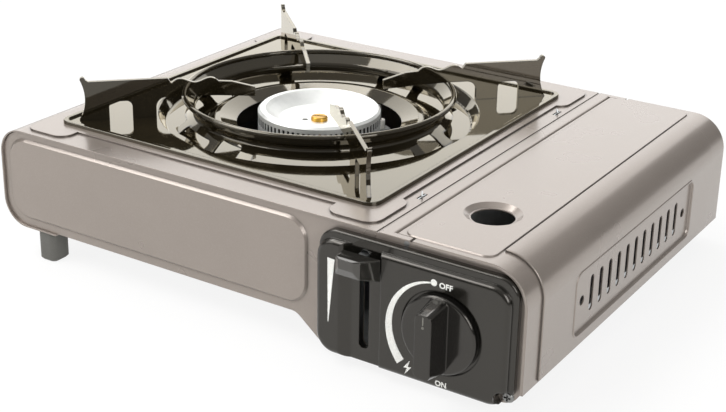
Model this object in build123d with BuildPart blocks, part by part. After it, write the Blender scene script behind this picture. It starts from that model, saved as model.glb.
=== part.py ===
from build123d import *
from math import atan2, cos, degrees, hypot, radians, sin
import os

# Portable gas stove: a sheet metal casing with one burner, a cartridge bay under a hinged lid,
# and an enamelled tray that carries the windshield ring and four pan arms.
# Millimetres. X runs to the right along the front, Y to the rear, Z up.
# The origin is on the table, under the middle of the stove's outer box.

# Casing
side_margin = 26.0
end_margin = 21.0
seam_margin = 24.0
case_top = 78.0
hull_bottom = 18.6
bay_bottom = 6.4
sheet = 0.8
corner_radius = 16.0
fold_radius = 1.6
hem_length = 39.0
flange_depth = 9.0
web_inset = 1.5
nest_gap = 0.1
lid_gap = 0.8
step_to_panel = 0.5
step_run = 16.0
step_radius = 8.0
emboss_left = 5.0
emboss_right = 9.0
emboss_bottom = 5.0
emboss_top = 3.6
emboss_corner = 13.0
emboss_raise = 1.6
emboss_slope = 40.0

# Fits
seat_gap = 0.05
run_gap = 0.05
slide_gap = 0.4

# Lid over the cartridge bay
lid_width = 75.0
lid_radius = 20.0
lid_bottom = 14.0
lid_lip = 1.6
seam_gap = 1.0
seam_flange = 6.0
seam_groove_offset = 8.5
groove_width = 1.6
groove_depth = 0.4
hinge_inset = 7.0
hinge_drop = 3.0
hinge_pin_radius = 1.5
hinge_pin_length = 6.0
hinge_notch = 4.1
hinge_clear = 4.0
tongue_gap = 1.5
tongue_depth = 3.6
ear_thickness = 1.2
ear_drop = 5.0
bulge_raise = 1.2
bulge_edge = 0.6
bulge_width = 22.0
bulge_front_margin = 15.0
bulge_rear_margin = 21.0
pad_raise = 0.7
pad_margin = 4.0
pad_corner = 6.0
vent_width = 154.0
vent_height = 34.5
vent_corner = 5.0
vent_border = 0.9
vent_middle = 39.2
vent_slots = 11
vent_pitch = 11.15
vent_slot_length = 20.0
vent_slot_width = 4.4
vent_hole_radius = 2.7
vent_hole_reach = 67.0
sight_hole_radius = 11.2
sight_dish_radius = 15.0
sight_dish_depth = 2.2
sight_inset = 27.5
sight_front = 50.5

# Control panel, knob and lock lever
lever_to_knob = 45.5
panel_right_gap = 5.0
panel_bottom = 6.3
panel_height = 67.3
panel_corner = 10.5
panel_proud = 5.5
panel_flange = 4.0
panel_wall = 3.4
panel_edge = 2.8
flange_edge = 1.2
slab_right_margin = 2.5
slab_top_margin = 4.2
trough_left = 14.0
trough_slope = 6.0
trough_right = 38.5
trough_right_slope = 1.5
trough_depth = 3.0
slot_inset = 27.5
slot_width = 5.6
slot_low = 13.5
slot_high = 67.5
screw_notch_radius = 5.0
knob_inset = 43.5
knob_height = 37.0
dial_radius = 22.0
dial_depth = 1.2
knob_gap = 0.5
disc_radius = 20.6
disc_thickness = 4.2
disc_edge = 1.4
grip_width = 10.8
grip_length = 39.5
grip_front_width = 9.0
grip_front_length = 34.0
grip_corner = 3.0
grip_height = 14.0
spindle_radius = 3.0
spindle_grip = 12.0
spindle_hole = 6.0
tab_width = 22.0
tab_height = 12.0
tab_drop = 0.5
tab_edge = 0.8
tab_brow_width = 14.0
tab_brow_height = 9.6
tab_brow_rise = 3.0
tab_brow_depth = 12.0
tab_face_width = 8.6
tab_face_height = 5.2
tab_face_rise = 5.1
tab_face_depth = 14.0
tab_rest = 61.0
neck_height = 10.0
lever_travel = 38.0
dock_travel = 6.0
follower_radius = 2.0
follower_drop = 5.0
follower_y = 14.0

# Tray seat in the top
tray_margin = 12.5
tray_corner = 7.0
seat_border = 5.0
seat_raise = 1.0
seat_corner = 9.0
lobe_inset = 19.5
lobe_side_proud = 10.5
lobe_end_proud = 16.5
lobe_corner = 8.0
opening_margin = 5.0
opening_corner = 12.0
opening_drop = 6.0

# Tray, windshield ring and arms
rim_width = 3.0
rim_raise = 1.2
well_radius = 95.0
well_slope = 4.5
well_drop = 7.2
tray_hole_radius = 49.0
collar_run = 10.0
collar_rise = 3.0
collar_top_width = 3.0
collar_foot_run = 4.5
collar_lip_drop = 1.0
ring_inset = 15.5
ring_wall = 1.4
ring_height = 17.2
ring_bead = 1.6
quarter_turn = 90.0
ring_waist_inset = 6.4
ring_waist_height = 7.0
ring_throat_height = 10.5
ring_skirt_run = 10.0
ring_fold = 3.5
ring_window_corner = 3.0
ring_slot_height = 4.4
ring_arch_height = 6.6
ring_long_slot = (-82.0, -43.0)
ring_short_slot = (-37.0, -15.5)
ring_arch = (-10.5, 1.0)
arm_thickness = 2.4
arm_rise = 23.0
arm_leg_inset = 1.0
arm_foot = 44.0
arm_inner_leg = 13.7
arm_outer_leg = 17.1
arm_inside = 41.1
arm_window_height = 10.6
arm_window_corner = 3.5
arm_shoulder = 6.0
horn_rise = 2.8
horn_tip = 1.5
horn_lean = 1.2
horn_run = 6.0
horn_waist = 3.6
horn_waist_height = 12.2
arm_bar = 51.0
tooth_step = 2.0
tooth_drop = 3.2
tooth_first_top = 8.8
tooth_gap = 15.7
tooth_second_top = 23.2
tooth_end = 29.3
tooth_top_drop = 0.9
nose_slope_start = 37.0
nose_slope_drop = 3.8
nose_top_drop = 7.8
nose_low_drop = 13.4
nose_heel = 22.0
nose_heel_drop = 11.8
ring_seat_gap = 0.2

# Burner and gas line
cap_radius = 36.5
cap_rise = 11.0
rim_overlap = 2.5
cap_rim = 4.5
cap_bowl_depth = 8.0
cap_skin = 2.0
port_count = 72
port_width = 1.5
port_height = 4.2
port_drop = 4.0
base_rim_height = 69.0
base_rim_radius = 33.0
base_wall = 2.0
base_foot_radius = 20.0
neck_radius = 13.0
throat_radius = 9.5
rim_height = 9.0
flare_rise = 10.0
socket_wall = 3.0
burner_bolt_radius = 2.0
burner_bolt_head = 5.0
pilot_hole_radius = 1.8
pilot_hole_reach = 8.5
pilot_angle = 212.0
bolt_head_height = 2.5
bolt_slot_width = 1.2
bolt_slot_depth = 0.9
bolt_slot_angle = 20.0
foot_bolt_spread = 32.0
tube_radius = 9.0
tube_wall = 1.0
sleeve_start = 25.6
sleeve_length = 12.0
sleeve_radius = 7.6
sleeve_cone = 6.0
outlet_radius = 6.5
outlet_length = 31.0
injector_length = 12.0
injector_radius = 4.0
injector_bore = 0.6
valve_radius = 17.0
valve_front = 11.0
valve_length = 26.0
valve_outlet = 23.0
column_offset = 20.0
column_radius = 5.0
inlet_height = 43.0
socket_radius = 9.0
socket_length = 6.0
inlet_radius = 4.0
inlet_length = 9.0
inlet_bore = 1.6
seal_radius = 7.5
seal_thickness = 2.0

# Igniter
cam_radius = 21.0
cam_width = 5.0
cam_hub = 6.0
cam_front = 6.5
cam_thickness = 3.0
cam_end_angle = 95.0
knob_turn = 150.0
plunger_height = 19.0
plunger_face = 4.7
plunger_radius = 2.0
plunger_stroke = 3.0
plunger_length = 13.0
plunger_show = 6.0
piezo_radius = 4.5
terminal_radius = 2.2
terminal_length = 2.0
lead_radius = 1.2
lead_clear = 1.8
lead_bends = (12.0, 12.0, 12.0, 7.5)
lead_low = 36.0
terminal_inset = 6.0
electrode_angle = 60.0
electrode_reach = 41.0
electrode_radius = 0.8
electrode_drop = 4.0
electrode_socket = 6.0
electrode_bend = 1.8
spark_gap = 1.5
insulator_radius = 3.0
insulator_below = 11.0
insulator_above = 9.0
lug_drop = 12.0
lug_thickness = 4.0
lug_width = 10.0

# Inside the bay
shield_offset = 13.5
shield_front = 38.0
shield_rear = 10.5
shield_foot = 10.0
twist_tab_front = 12.0
twist_tab_rear = 39.5
twist_tab_width = 7.0
twist_tab_rise = 1.6
twist_angle = 30.0
yoke_sheet = 1.5
yoke_offset = 2.6
yoke_dock = 52.0
yoke_half_width = 18.0
yoke_slot_half = 12.5
yoke_low = 21.0
yoke_high = 60.0
yoke_arm_height = 6.0
yoke_plate_low = 12.0
yoke_plate_high = 63.0
yoke_plate_depth = 27.0
guide_pin_radius = 2.0
guide_pin_low = 18.0
guide_pin_high = 57.5
guide_pin_y = 27.0
cartridge_radius = 33.0
cradle_clearance = 0.3
cradle_sheet = 1.2
cradle_half_width = 26.0
cradle_rise = 16.0
cradle_span = 120.0
cradle_middle = 25.0
cradle_foot = 14.0
spring_width = 20.0
spring_low = 16.0
spring_high = 60.0
spring_bow = 6.0
spring_foot = 9.0

# Underside
foot_width = 13.0
foot_depth = 14.0
foot_corner = 4.0
foot_edge = 1.2
left_foot_inset = 29.0
left_foot_front = 8.5
right_foot_inset = 24.0
right_foot_front = 22.0
pan_right_inset = 13.0
pan_lip = 7.0
air_slot_length = 34.0
air_slot_width = 4.0
air_slot_pitch = 12.0
air_slot_count = 5

# Screws
screw_head_radius = 3.2
screw_head_height = 1.4
screw_shank_radius = 1.5
screw_length = 6.0
case_screw_inset = 9.2
case_screw_height = 10.5

# Places worked out from the sizes
tray_size = 2 * (well_radius + tray_margin)
case_width = side_margin + tray_size + seam_margin + lid_width
case_depth = tray_size + 2 * end_margin
front_reach = panel_proud - dial_depth + knob_gap + disc_thickness + grip_height
mid_y = front_reach / 2
front_y = mid_y - case_depth / 2
rear_y = mid_y + case_depth / 2
case_left = -case_width / 2
case_right = case_width / 2
seam_x = case_right - lid_width
wrap_edge = seam_x - seam_gap / 2
lid_edge = seam_x + seam_gap / 2
lid_side = case_right - bulge_raise
hinge_x = seam_x + hinge_inset
hinge_z = case_top - hinge_drop
front_web = front_y + web_inset
front_inner = front_web + sheet
rear_web = rear_y - web_inset
rear_inner = rear_web - sheet
hull_floor = hull_bottom + sheet + nest_gap
pan_hull_top = hull_floor + 2 * sheet
pan_bay_top = bay_bottom + 2 * sheet
plate_left = case_left + sheet + nest_gap
plate_right = lid_side - sheet - lid_gap
plate_top = case_top - sheet - slide_gap
cap_top = base_rim_height + cap_rise
cap_height = cap_rise + rim_overlap
flare_top = base_rim_height - rim_height
neck_top = flare_top - flare_rise
lug_height = base_rim_height - lug_drop
insulator_bottom = lug_height - insulator_below
insulator_top = lug_height + insulator_above
electrode_top = cap_top - electrode_drop
panel_right = case_right - panel_right_gap
knob_x = case_right - knob_inset
slot_x = knob_x - lever_to_knob
panel_left = slot_x - slot_inset
step_end = panel_left - step_to_panel
step_start = step_end - step_run
panel_width = panel_right - panel_left
panel_face = front_y - panel_proud
panel_mid_x = (panel_left + panel_right) / 2
panel_mid_z = panel_bottom + panel_height / 2
knob_back = panel_face + dial_depth - knob_gap
disc_front = knob_back - disc_thickness
burner_x = case_left + side_margin + tray_size / 2
seat_top = case_top + seat_raise
opening_size = 2 * (well_radius + opening_margin)
lobe_from = tray_size / 2 - lobe_inset
lobe_side_reach = tray_size / 2 + lobe_side_proud
lobe_end_reach = tray_size / 2 + lobe_end_proud
ring_radius = well_radius - ring_inset
arm_leg = well_radius + arm_leg_inset
arm_reach = arm_leg + arm_foot
arm_window_start = arm_leg + arm_inner_leg
arm_window_end = arm_reach - arm_outer_leg
arm_nose = ring_radius - arm_inside
tray_top = seat_top + sheet
well_floor = tray_top - well_drop
ring_top = well_floor + ring_height + ring_bead
arm_top = tray_top + arm_rise
valve_y = front_y + valve_outlet
gas_dx = burner_x - knob_x
gas_dy = mid_y - valve_y
gas_run = hypot(gas_dx, gas_dy)
gas_way = Vector(gas_dx / gas_run, gas_dy / gas_run, 0)
shield_x = seam_x - shield_offset
shield_start = front_y + shield_front
shield_stop = rear_y - shield_rear
twist_tabs = (shield_start + twist_tab_front, shield_stop - twist_tab_rear)
yoke_x = slot_x + yoke_offset
guide_x = yoke_x + yoke_sheet + slide_gap
electrode_x = burner_x + electrode_reach * cos(radians(electrode_angle))
electrode_y = mid_y + electrode_reach * sin(radians(electrode_angle))
piezo_y = front_y + cam_front + cam_thickness / 2
piezo_z = knob_height + plunger_height
yoke_arm_high = piezo_z - lead_radius - lead_clear
yoke_arm_low = yoke_arm_high - yoke_arm_height
piezo_right = knob_x - plunger_face - plunger_show
piezo_left = guide_x + yoke_sheet
case_screw_x = case_right - case_screw_inset
lead_crossing_y = front_y + shield_front + shield_foot

os.makedirs("parts", exist_ok=True)


def facing(y):
    """Plane at y that looks to the front: its own x is X and its own y is Z."""
    return Plane.XZ.offset(-y)


def across(x):
    """Plane at x that looks to the right: its own x is Y and its own y is Z."""
    return Plane.YZ.offset(x)


def level(z):
    """Horizontal plane at height z."""
    return Plane.XY.offset(z)


def upright(angle):
    """Upright plane through the burner axis: its own x runs outwards, its own y is Z."""
    way = Vector(cos(radians(angle)), sin(radians(angle)), 0)
    return Plane(origin=(burner_x, mid_y, 0), x_dir=way, z_dir=(way.Y, -way.X, 0))


def outward(angle):
    """Upright plane on the burner axis, level with the well's floor, that faces outwards at this angle."""
    way = Vector(cos(radians(angle)), sin(radians(angle)), 0)
    return Plane(origin=(burner_x, mid_y, well_floor), x_dir=(-way.Y, way.X, 0), z_dir=way)


def save(piece, name):
    """Label a finished piece and write it as its own file."""
    piece.part.label = name
    export_step(piece.part, f"parts/{name}.step")


burner_axis = Axis((burner_x, mid_y, 0), (0, 0, 1))
gas_axis = Axis((knob_x, valve_y, knob_height), tuple(gas_way))
gas_section = Plane(
    origin=(knob_x, valve_y, knob_height), x_dir=gas_way, z_dir=(gas_way.Y, -gas_way.X, 0)
)


def underside_line():
    """Line along the underside of the casing, from the burner side down into the bay."""
    return FilletPolyline(
        (case_left + corner_radius, hull_floor),
        (step_start, hull_floor),
        (step_end, bay_bottom),
        (plate_right - pan_right_inset, bay_bottom),
        radius=(step_radius, step_radius),
    )


def end_line():
    """Outline of the front and rear plates, nested in the wrap and under the lid."""
    return FilletPolyline(
        (plate_left, hull_floor),
        (step_start, hull_floor),
        (step_end, bay_bottom),
        (plate_right, bay_bottom),
        (plate_right, plate_top),
        (plate_left, plate_top),
        radius=(
            corner_radius - sheet - nest_gap,
            step_radius,
            step_radius,
            panel_corner,
            lid_radius - sheet - lid_gap,
            corner_radius - sheet - nest_gap,
        ),
        close=True,
    )


def seat_outline(inset):
    """Raised border round the tray, wider at its four corners."""
    half = tray_size / 2 + seat_border - inset
    side = lobe_side_reach - lobe_from - 2 * inset
    end = lobe_end_reach - lobe_from - 2 * inset
    across_lobes = lobe_side_reach + lobe_from
    along_lobes = lobe_end_reach + lobe_from
    with Locations((burner_x, mid_y)):
        RectangleRounded(2 * half, 2 * half, seat_corner)
        with GridLocations(across_lobes, along_lobes, 2, 2):
            RectangleRounded(side, end, lobe_corner)


# Wrap sheet: top, left end and hem, with the pressed seat of the tray
with BuildPart() as top_shell:
    with BuildSketch(facing(rear_y)):
        with BuildLine():
            FilletPolyline(
                (wrap_edge, case_top - seam_flange),
                (wrap_edge, case_top),
                (case_left, case_top),
                (case_left, hull_bottom),
                (case_left + hem_length, hull_bottom),
                radius=(fold_radius, corner_radius, corner_radius),
            )
            offset(amount=sheet, side=Side.LEFT)
        make_face()
    extrude(amount=case_depth)
    with BuildSketch(level(case_top - sheet)):
        seat_outline(0)
    extrude(amount=sheet + seat_raise)
    with BuildSketch(level(case_top - sheet)):
        seat_outline(sheet)
    extrude(amount=seat_raise, mode=Mode.SUBTRACT)
    with BuildSketch(level(seat_top)):
        with Locations((burner_x, mid_y)):
            RectangleRounded(opening_size + 2 * sheet, opening_size + 2 * sheet, opening_corner + sheet)
    extrude(amount=-opening_drop)
    with BuildSketch(level(seat_top)):
        with Locations((burner_x, mid_y)):
            RectangleRounded(opening_size, opening_size, opening_corner)
    extrude(amount=-opening_drop, mode=Mode.SUBTRACT)
    with BuildSketch(level(case_top)):
        with Locations((seam_x - seam_groove_offset, mid_y)):
            Rectangle(groove_width, case_depth)
    extrude(amount=-groove_depth, mode=Mode.SUBTRACT)
    with BuildSketch(level(case_top)):
        for tab_y in twist_tabs:
            with Locations((shield_x, tab_y)):
                Rectangle(3 * sheet, twist_tab_width + sheet)
    extrude(amount=-sheet, mode=Mode.SUBTRACT)
    # The seam's folded edge stops short of the end plates
    with BuildSketch(level(case_top - sheet)):
        with Locations((wrap_edge, front_y), (wrap_edge, rear_y)):
            Rectangle(2 * seam_flange, 2 * (web_inset + sheet + slide_gap))
    extrude(amount=-seam_flange, mode=Mode.SUBTRACT)
    tongue_length = hinge_x + hinge_clear - tongue_gap - wrap_edge + fold_radius
    # Tongues that fill the corners where the lid is cut back for its hinge
    for end_y, inward in ((front_y, 1), (rear_y, -1)):
        with BuildSketch(level(case_top)):
            with Locations((hinge_x + hinge_clear - tongue_gap, end_y + inward * tongue_depth / 2)):
                Rectangle(tongue_length, tongue_depth, align=(Align.MAX, Align.CENTER))
        extrude(amount=-sheet)
save(top_shell, "top_shell")


# Front plate with its raised panel
emboss_width = panel_left - emboss_right - plate_left - emboss_left
emboss_height = plate_top - emboss_top - hull_floor - emboss_bottom
emboss_x = plate_left + emboss_left + emboss_width / 2
emboss_z = hull_floor + emboss_bottom + emboss_height / 2


def end_plate_blank(web, inward):
    """Web of an end plate with its folded edge, which is left off beside the lid."""
    inner = web + inward * sheet
    with BuildPart() as blank:
        with BuildSketch(facing(web)):
            with BuildLine():
                end_line()
            make_face()
        extrude(amount=-inward * flange_depth)
        with BuildSketch(facing(inner)):
            with BuildLine():
                end_line()
            make_face()
            offset(amount=-sheet, mode=Mode.REPLACE)
        extrude(amount=-inward * flange_depth, mode=Mode.SUBTRACT)
        with BuildSketch(facing(inner)):
            with Locations((wrap_edge - 4 * sheet, bay_bottom + pan_lip)):
                Rectangle(lid_width + 4 * sheet, case_top, align=(Align.MIN, Align.MIN))
        extrude(amount=-inward * flange_depth, mode=Mode.SUBTRACT)
    return blank.part


front_blank = end_plate_blank(front_web, 1)
rear_blank = end_plate_blank(rear_web, -1)
with BuildPart() as front_plate:
    add(front_blank)
    with BuildSketch(facing(front_web)):
        with Locations((emboss_x, emboss_z)):
            RectangleRounded(emboss_width, emboss_height, emboss_corner)
    extrude(amount=emboss_raise, taper=emboss_slope)
    with BuildSketch(facing(front_inner)):
        with Locations((emboss_x, emboss_z)):
            RectangleRounded(emboss_width - sheet, emboss_height - sheet, emboss_corner - sheet / 2)
    extrude(amount=emboss_raise, taper=emboss_slope, mode=Mode.SUBTRACT)
    with BuildSketch(facing(front_inner)):
        with Locations((slot_x, (slot_low + slot_high) / 2)):
            SlotOverall(slot_high - slot_low, slot_width, rotation=90)
        with Locations((knob_x, knob_height)):
            Circle(spindle_hole)
        with Locations((hinge_x, hinge_z)):
            Circle(hinge_pin_radius + seat_gap)
        with Locations((case_screw_x, case_screw_height)):
            Circle(screw_shank_radius + seat_gap)
        for turn in (1, -1):
            with Locations((knob_x + turn * column_offset, knob_height + turn * column_offset)):
                Circle(screw_shank_radius + seat_gap)
    extrude(amount=sheet, mode=Mode.SUBTRACT)
save(front_plate, "front_plate")


# Rear plate with two rows of air slots
rear_screws = ((case_screw_x, case_screw_height), (step_end + corner_radius, case_screw_height))
with BuildPart() as rear_plate:
    add(rear_blank)
    with BuildSketch(facing(rear_inner)):
        with Locations((burner_x, (hull_floor + plate_top) / 2)):
            with GridLocations(air_slot_pitch, 1.5 * vent_slot_length, 2 * air_slot_count, 1):
                SlotOverall(vent_slot_length, vent_slot_width, rotation=90)
        with Locations((hinge_x, hinge_z)):
            Circle(hinge_pin_radius + seat_gap)
        with Locations(*rear_screws):
            Circle(screw_shank_radius + seat_gap)
    extrude(amount=-sheet, mode=Mode.SUBTRACT)
save(rear_plate, "rear_plate")


# Bottom pan, lying on the folded edges of both end plates
pan_depth = rear_inner - front_inner - 2 * slide_gap
with BuildPart() as bottom_pan:
    with BuildSketch(facing(rear_inner - slide_gap)):
        with BuildLine():
            underside_line()
            offset(amount=2 * sheet, side=Side.LEFT)
        make_face()
        with BuildLine():
            underside_line()
            offset(amount=sheet, side=Side.LEFT)
        make_face(mode=Mode.SUBTRACT)
        with Locations((plate_right - pan_right_inset, bay_bottom + sheet)):
            Rectangle(sheet, pan_lip, align=(Align.MAX, Align.MIN))
    extrude(amount=pan_depth)
    with BuildSketch(level(hull_floor)):
        with Locations((burner_x, mid_y)):
            with GridLocations(3 * air_slot_length, air_slot_pitch, 2, air_slot_count):
                SlotOverall(air_slot_length, air_slot_width)
    extrude(amount=pan_hull_top - hull_floor, mode=Mode.SUBTRACT)
    with BuildSketch(level(hull_floor)):
        with Locations((burner_x, mid_y)):
            with GridLocations(foot_bolt_spread, 1, 2, 1):
                Circle(screw_shank_radius + seat_gap)
    extrude(amount=pan_hull_top - hull_floor, mode=Mode.SUBTRACT)
save(bottom_pan, "bottom_pan")


# Feet: tall under the burner side, short under the bay
foot_places = {
    "foot_front_left": (case_left + left_foot_inset, front_y + left_foot_front, hull_bottom),
    "foot_rear_left": (case_left + left_foot_inset, rear_y - left_foot_front, hull_bottom),
    "foot_front_right": (case_right - right_foot_inset, front_y + right_foot_front, bay_bottom + sheet),
    "foot_rear_right": (case_right - right_foot_inset, rear_y - right_foot_front, bay_bottom + sheet),
}
for foot_name, (foot_x, foot_y, foot_height) in foot_places.items():
    with BuildPart() as foot:
        with BuildSketch(level(0)):
            with Locations((foot_x, foot_y)):
                RectangleRounded(foot_width, foot_depth, foot_corner)
        extrude(amount=foot_height)
        chamfer(foot.edges().group_by(Axis.Z)[0], foot_edge)
    save(foot, foot_name)


# Heat shield between the burner and the bay, held by two twisted tabs in the top
shield_low = pan_bay_top
with BuildPart() as heat_shield:
    with BuildSketch(across(shield_x - sheet / 2)):
        with Locations(((shield_start + shield_stop) / 2, (shield_low + case_top - sheet) / 2)):
            Rectangle(shield_stop - shield_start, case_top - sheet - shield_low)
    extrude(amount=sheet)
    with BuildSketch(level(shield_low)):
        with Locations((shield_x + sheet / 2, (shield_start + shield_stop) / 2)):
            Rectangle(shield_foot, shield_stop - shield_start, align=(Align.MAX, Align.CENTER))
    extrude(amount=sheet)
    for tab_y in twist_tabs:
        with BuildSketch(level(case_top - sheet)):
            with Locations((shield_x, tab_y)):
                Rectangle(sheet, twist_tab_width)
        extrude(amount=sheet)
        with BuildSketch(level(case_top)):
            with Locations((shield_x, tab_y)):
                Rectangle(sheet, twist_tab_width, rotation=twist_angle)
        extrude(amount=twist_tab_rise)
    with BuildSketch(Plane(origin=gas_section.origin, x_dir=(0, 0, 1), z_dir=gas_way)):
        Circle(tube_radius + 2 * slide_gap)
    extrude(amount=gas_run / 2, mode=Mode.SUBTRACT)
    with BuildSketch(across(shield_x - sheet / 2)):
        with Locations((lead_crossing_y, piezo_z)):
            Circle(2 * lead_radius + slide_gap)
    extrude(amount=sheet, mode=Mode.SUBTRACT)
save(heat_shield, "heat_shield")


# Control panel: a moulded cover with a trough for the lever and a dial for the knob
slab_width = panel_width - slab_right_margin
slab_height = panel_height - slab_top_margin
slab_x = panel_left + slab_width / 2
slab_z = panel_bottom + slab_height / 2
trough_end = panel_left + trough_right
cavity_left = trough_end + panel_wall
cavity_right = panel_left + slab_width - panel_wall
with BuildPart() as control_panel:
    with BuildSketch(facing(front_web)):
        with Locations((panel_mid_x, panel_mid_z)):
            RectangleRounded(panel_width, panel_height, panel_corner)
    extrude(amount=panel_flange)
    fillet(control_panel.faces().sort_by(Axis.Y)[0].edges(), flange_edge)
    with BuildSketch(facing(front_web)):
        with Locations((slab_x, slab_z)):
            RectangleRounded(slab_width, slab_height, panel_corner)
    extrude(amount=front_web - panel_face)
    fillet(control_panel.faces().sort_by(Axis.Y)[0].edges(), panel_edge)
    with BuildSketch(facing(front_web)):
        with Locations(((cavity_left + cavity_right) / 2, slab_z)):
            RectangleRounded(
                cavity_right - cavity_left, slab_height - 2 * panel_wall, panel_corner - panel_wall
            )
    extrude(amount=front_web - panel_face - panel_wall, mode=Mode.SUBTRACT)
    with BuildSketch(facing(front_web)):
        for turn in (1, -1):
            with Locations((knob_x + turn * column_offset, knob_height + turn * column_offset)):
                Circle(screw_head_radius + slide_gap)
    extrude(amount=screw_head_height + slide_gap, mode=Mode.SUBTRACT)
    with BuildSketch(level(panel_bottom)):
        with BuildLine():
            Polyline(
                (panel_left + trough_left, panel_face),
                (panel_left + trough_left + trough_slope, panel_face + trough_depth),
                (trough_end - trough_right_slope, panel_face + trough_depth),
                (trough_end, panel_face),
                close=True,
            )
        make_face()
    extrude(amount=slab_height, mode=Mode.SUBTRACT)
    with BuildSketch(facing(front_web)):
        with Locations((slot_x, (slot_low + slot_high) / 2)):
            SlotOverall(slot_high - slot_low, slot_width, rotation=90)
        with Locations((knob_x, knob_height)):
            Circle(spindle_hole)
        with Locations((case_screw_x, case_screw_height)):
            Circle(screw_notch_radius)
    extrude(amount=front_web - panel_face, mode=Mode.SUBTRACT)
    with BuildSketch(facing(panel_face + dial_depth)):
        with Locations((knob_x, knob_height)):
            Circle(dial_radius)
    extrude(amount=dial_depth, mode=Mode.SUBTRACT)
save(control_panel, "control_panel")


# Knob with its grip bar, pointing up when the gas is off
with BuildPart() as knob:
    with BuildSketch(facing(knob_back)):
        with Locations((knob_x, knob_height)):
            Circle(disc_radius)
    extrude(amount=disc_thickness)
    fillet(knob.faces().sort_by(Axis.Y)[0].edges(), disc_edge)
    with BuildSketch(facing(disc_front + disc_edge)):
        with Locations((knob_x, knob_height)):
            RectangleRounded(grip_width, grip_length, grip_corner)
    with BuildSketch(facing(disc_front - grip_height)):
        with Locations((knob_x, knob_height)):
            RectangleRounded(grip_front_width, grip_front_length, grip_corner)
    loft()
    with BuildSketch(facing(knob_back)):
        with Locations((knob_x, knob_height)):
            Circle(spindle_radius + seat_gap)
    extrude(amount=spindle_grip, mode=Mode.SUBTRACT)
save(knob, "knob")

spindle_front = knob_back - spindle_grip + slide_gap
spindle_rear = front_y + valve_front + spindle_grip - slide_gap
with BuildPart() as knob_spindle:
    with BuildSketch(facing(spindle_front)):
        with Locations((knob_x, knob_height)):
            Circle(spindle_radius)
    extrude(amount=spindle_front - spindle_rear)
save(knob_spindle, "knob_spindle")

with BuildPart() as striker_cam:
    with BuildSketch(facing(front_y + cam_front)):
        with Locations((knob_x, knob_height)):
            Circle(cam_hub)
            Rectangle(
                cam_radius, cam_width, rotation=cam_end_angle - knob_turn, align=(Align.MIN, Align.CENTER)
            )
            Circle(spindle_radius + seat_gap, mode=Mode.SUBTRACT)
    extrude(amount=-cam_thickness)
save(striker_cam, "striker_cam")


# Lock lever: a faceted tab in front, and a slide behind the plate with a follower pin
tab_back = panel_face - knob_gap
neck_width = slot_width - 2 * slide_gap
follower_z = tab_rest - follower_drop
slide_block_right = yoke_x - slide_gap
with BuildPart() as lever_tab:
    with BuildSketch(facing(tab_back)):
        with Locations((slot_x, tab_rest - tab_drop)):
            RectangleRounded(tab_width, tab_height, tab_edge)
    with BuildSketch(facing(tab_back - tab_brow_depth)):
        with Locations((slot_x, tab_rest + tab_brow_rise)):
            RectangleRounded(tab_brow_width, tab_brow_height, tab_edge)
    with BuildSketch(facing(tab_back - tab_face_depth)):
        with Locations((slot_x, tab_rest + tab_face_rise)):
            RectangleRounded(tab_face_width, tab_face_height, tab_edge)
    loft(ruled=True)
save(lever_tab, "lever_tab")

with BuildPart() as lock_slide:
    with BuildSketch(facing(tab_back)):
        with Locations((slot_x, tab_rest)):
            Rectangle(neck_width, neck_height)
    extrude(amount=tab_back - front_inner - slide_gap)
    with BuildSketch(facing(front_inner + slide_gap)):
        with Locations((slide_block_right, tab_rest + neck_height / 2)):
            Rectangle(
                2 * (slide_block_right - slot_x),
                neck_height / 2 + follower_drop + 2 * follower_radius,
                align=(Align.MAX, Align.MAX),
            )
    extrude(amount=front_inner + slide_gap - front_y - follower_y - 1.5 * follower_radius)
    with BuildSketch(across(slide_block_right)):
        with Locations((front_y + follower_y, follower_z)):
            Circle(follower_radius)
    extrude(amount=slide_gap + yoke_sheet)
save(lock_slide, "lock_slide")


# Docking yoke: the lever's pin in its sloping slot draws it forward with the cartridge collar
yoke_y = front_y + yoke_dock
yoke_plate_front = front_y + follower_y - 2.3 * follower_radius
yoke_plate_rear = yoke_plate_front + yoke_plate_depth
slope_length = hypot(lever_travel, dock_travel)
slope_angle = degrees(atan2(-lever_travel, dock_travel))
with BuildPart() as docking_yoke:
    with BuildSketch(across(yoke_x)):
        with Locations((yoke_plate_front, yoke_plate_low)):
            Rectangle(yoke_plate_depth, yoke_plate_high - yoke_plate_low, align=(Align.MIN, Align.MIN))
        with Locations((yoke_plate_rear, yoke_arm_low)):
            Rectangle(
                yoke_y + yoke_sheet - yoke_plate_rear,
                yoke_arm_high - yoke_arm_low,
                align=(Align.MIN, Align.MIN),
            )
        with Locations((front_y + follower_y + dock_travel / 2, follower_z - lever_travel / 2)):
            SlotCenterToCenter(
                slope_length + slide_gap,
                2 * (follower_radius + slide_gap / 2),
                rotation=slope_angle,
                mode=Mode.SUBTRACT,
            )
        for guide_z in (guide_pin_low, guide_pin_high):
            with Locations((front_y + guide_pin_y + dock_travel / 2, guide_z)):
                SlotCenterToCenter(
                    dock_travel + slide_gap, 2 * (guide_pin_radius + run_gap), mode=Mode.SUBTRACT
                )
    extrude(amount=yoke_sheet)
    with BuildSketch(facing(yoke_y + yoke_sheet)):
        with Locations((yoke_x, yoke_arm_low)):
            Rectangle(
                knob_x - yoke_half_width - yoke_x + yoke_sheet,
                yoke_arm_high - yoke_arm_low,
                align=(Align.MIN, Align.MIN),
            )
        with Locations((knob_x, yoke_low)):
            Rectangle(2 * yoke_half_width, yoke_high - yoke_low, align=(Align.CENTER, Align.MIN))
        with Locations((knob_x, inlet_height)):
            Circle(yoke_slot_half, mode=Mode.SUBTRACT)
            Rectangle(
                2 * yoke_slot_half, yoke_high, align=(Align.CENTER, Align.MIN), mode=Mode.SUBTRACT
            )
    extrude(amount=yoke_sheet)
save(docking_yoke, "docking_yoke")

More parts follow.
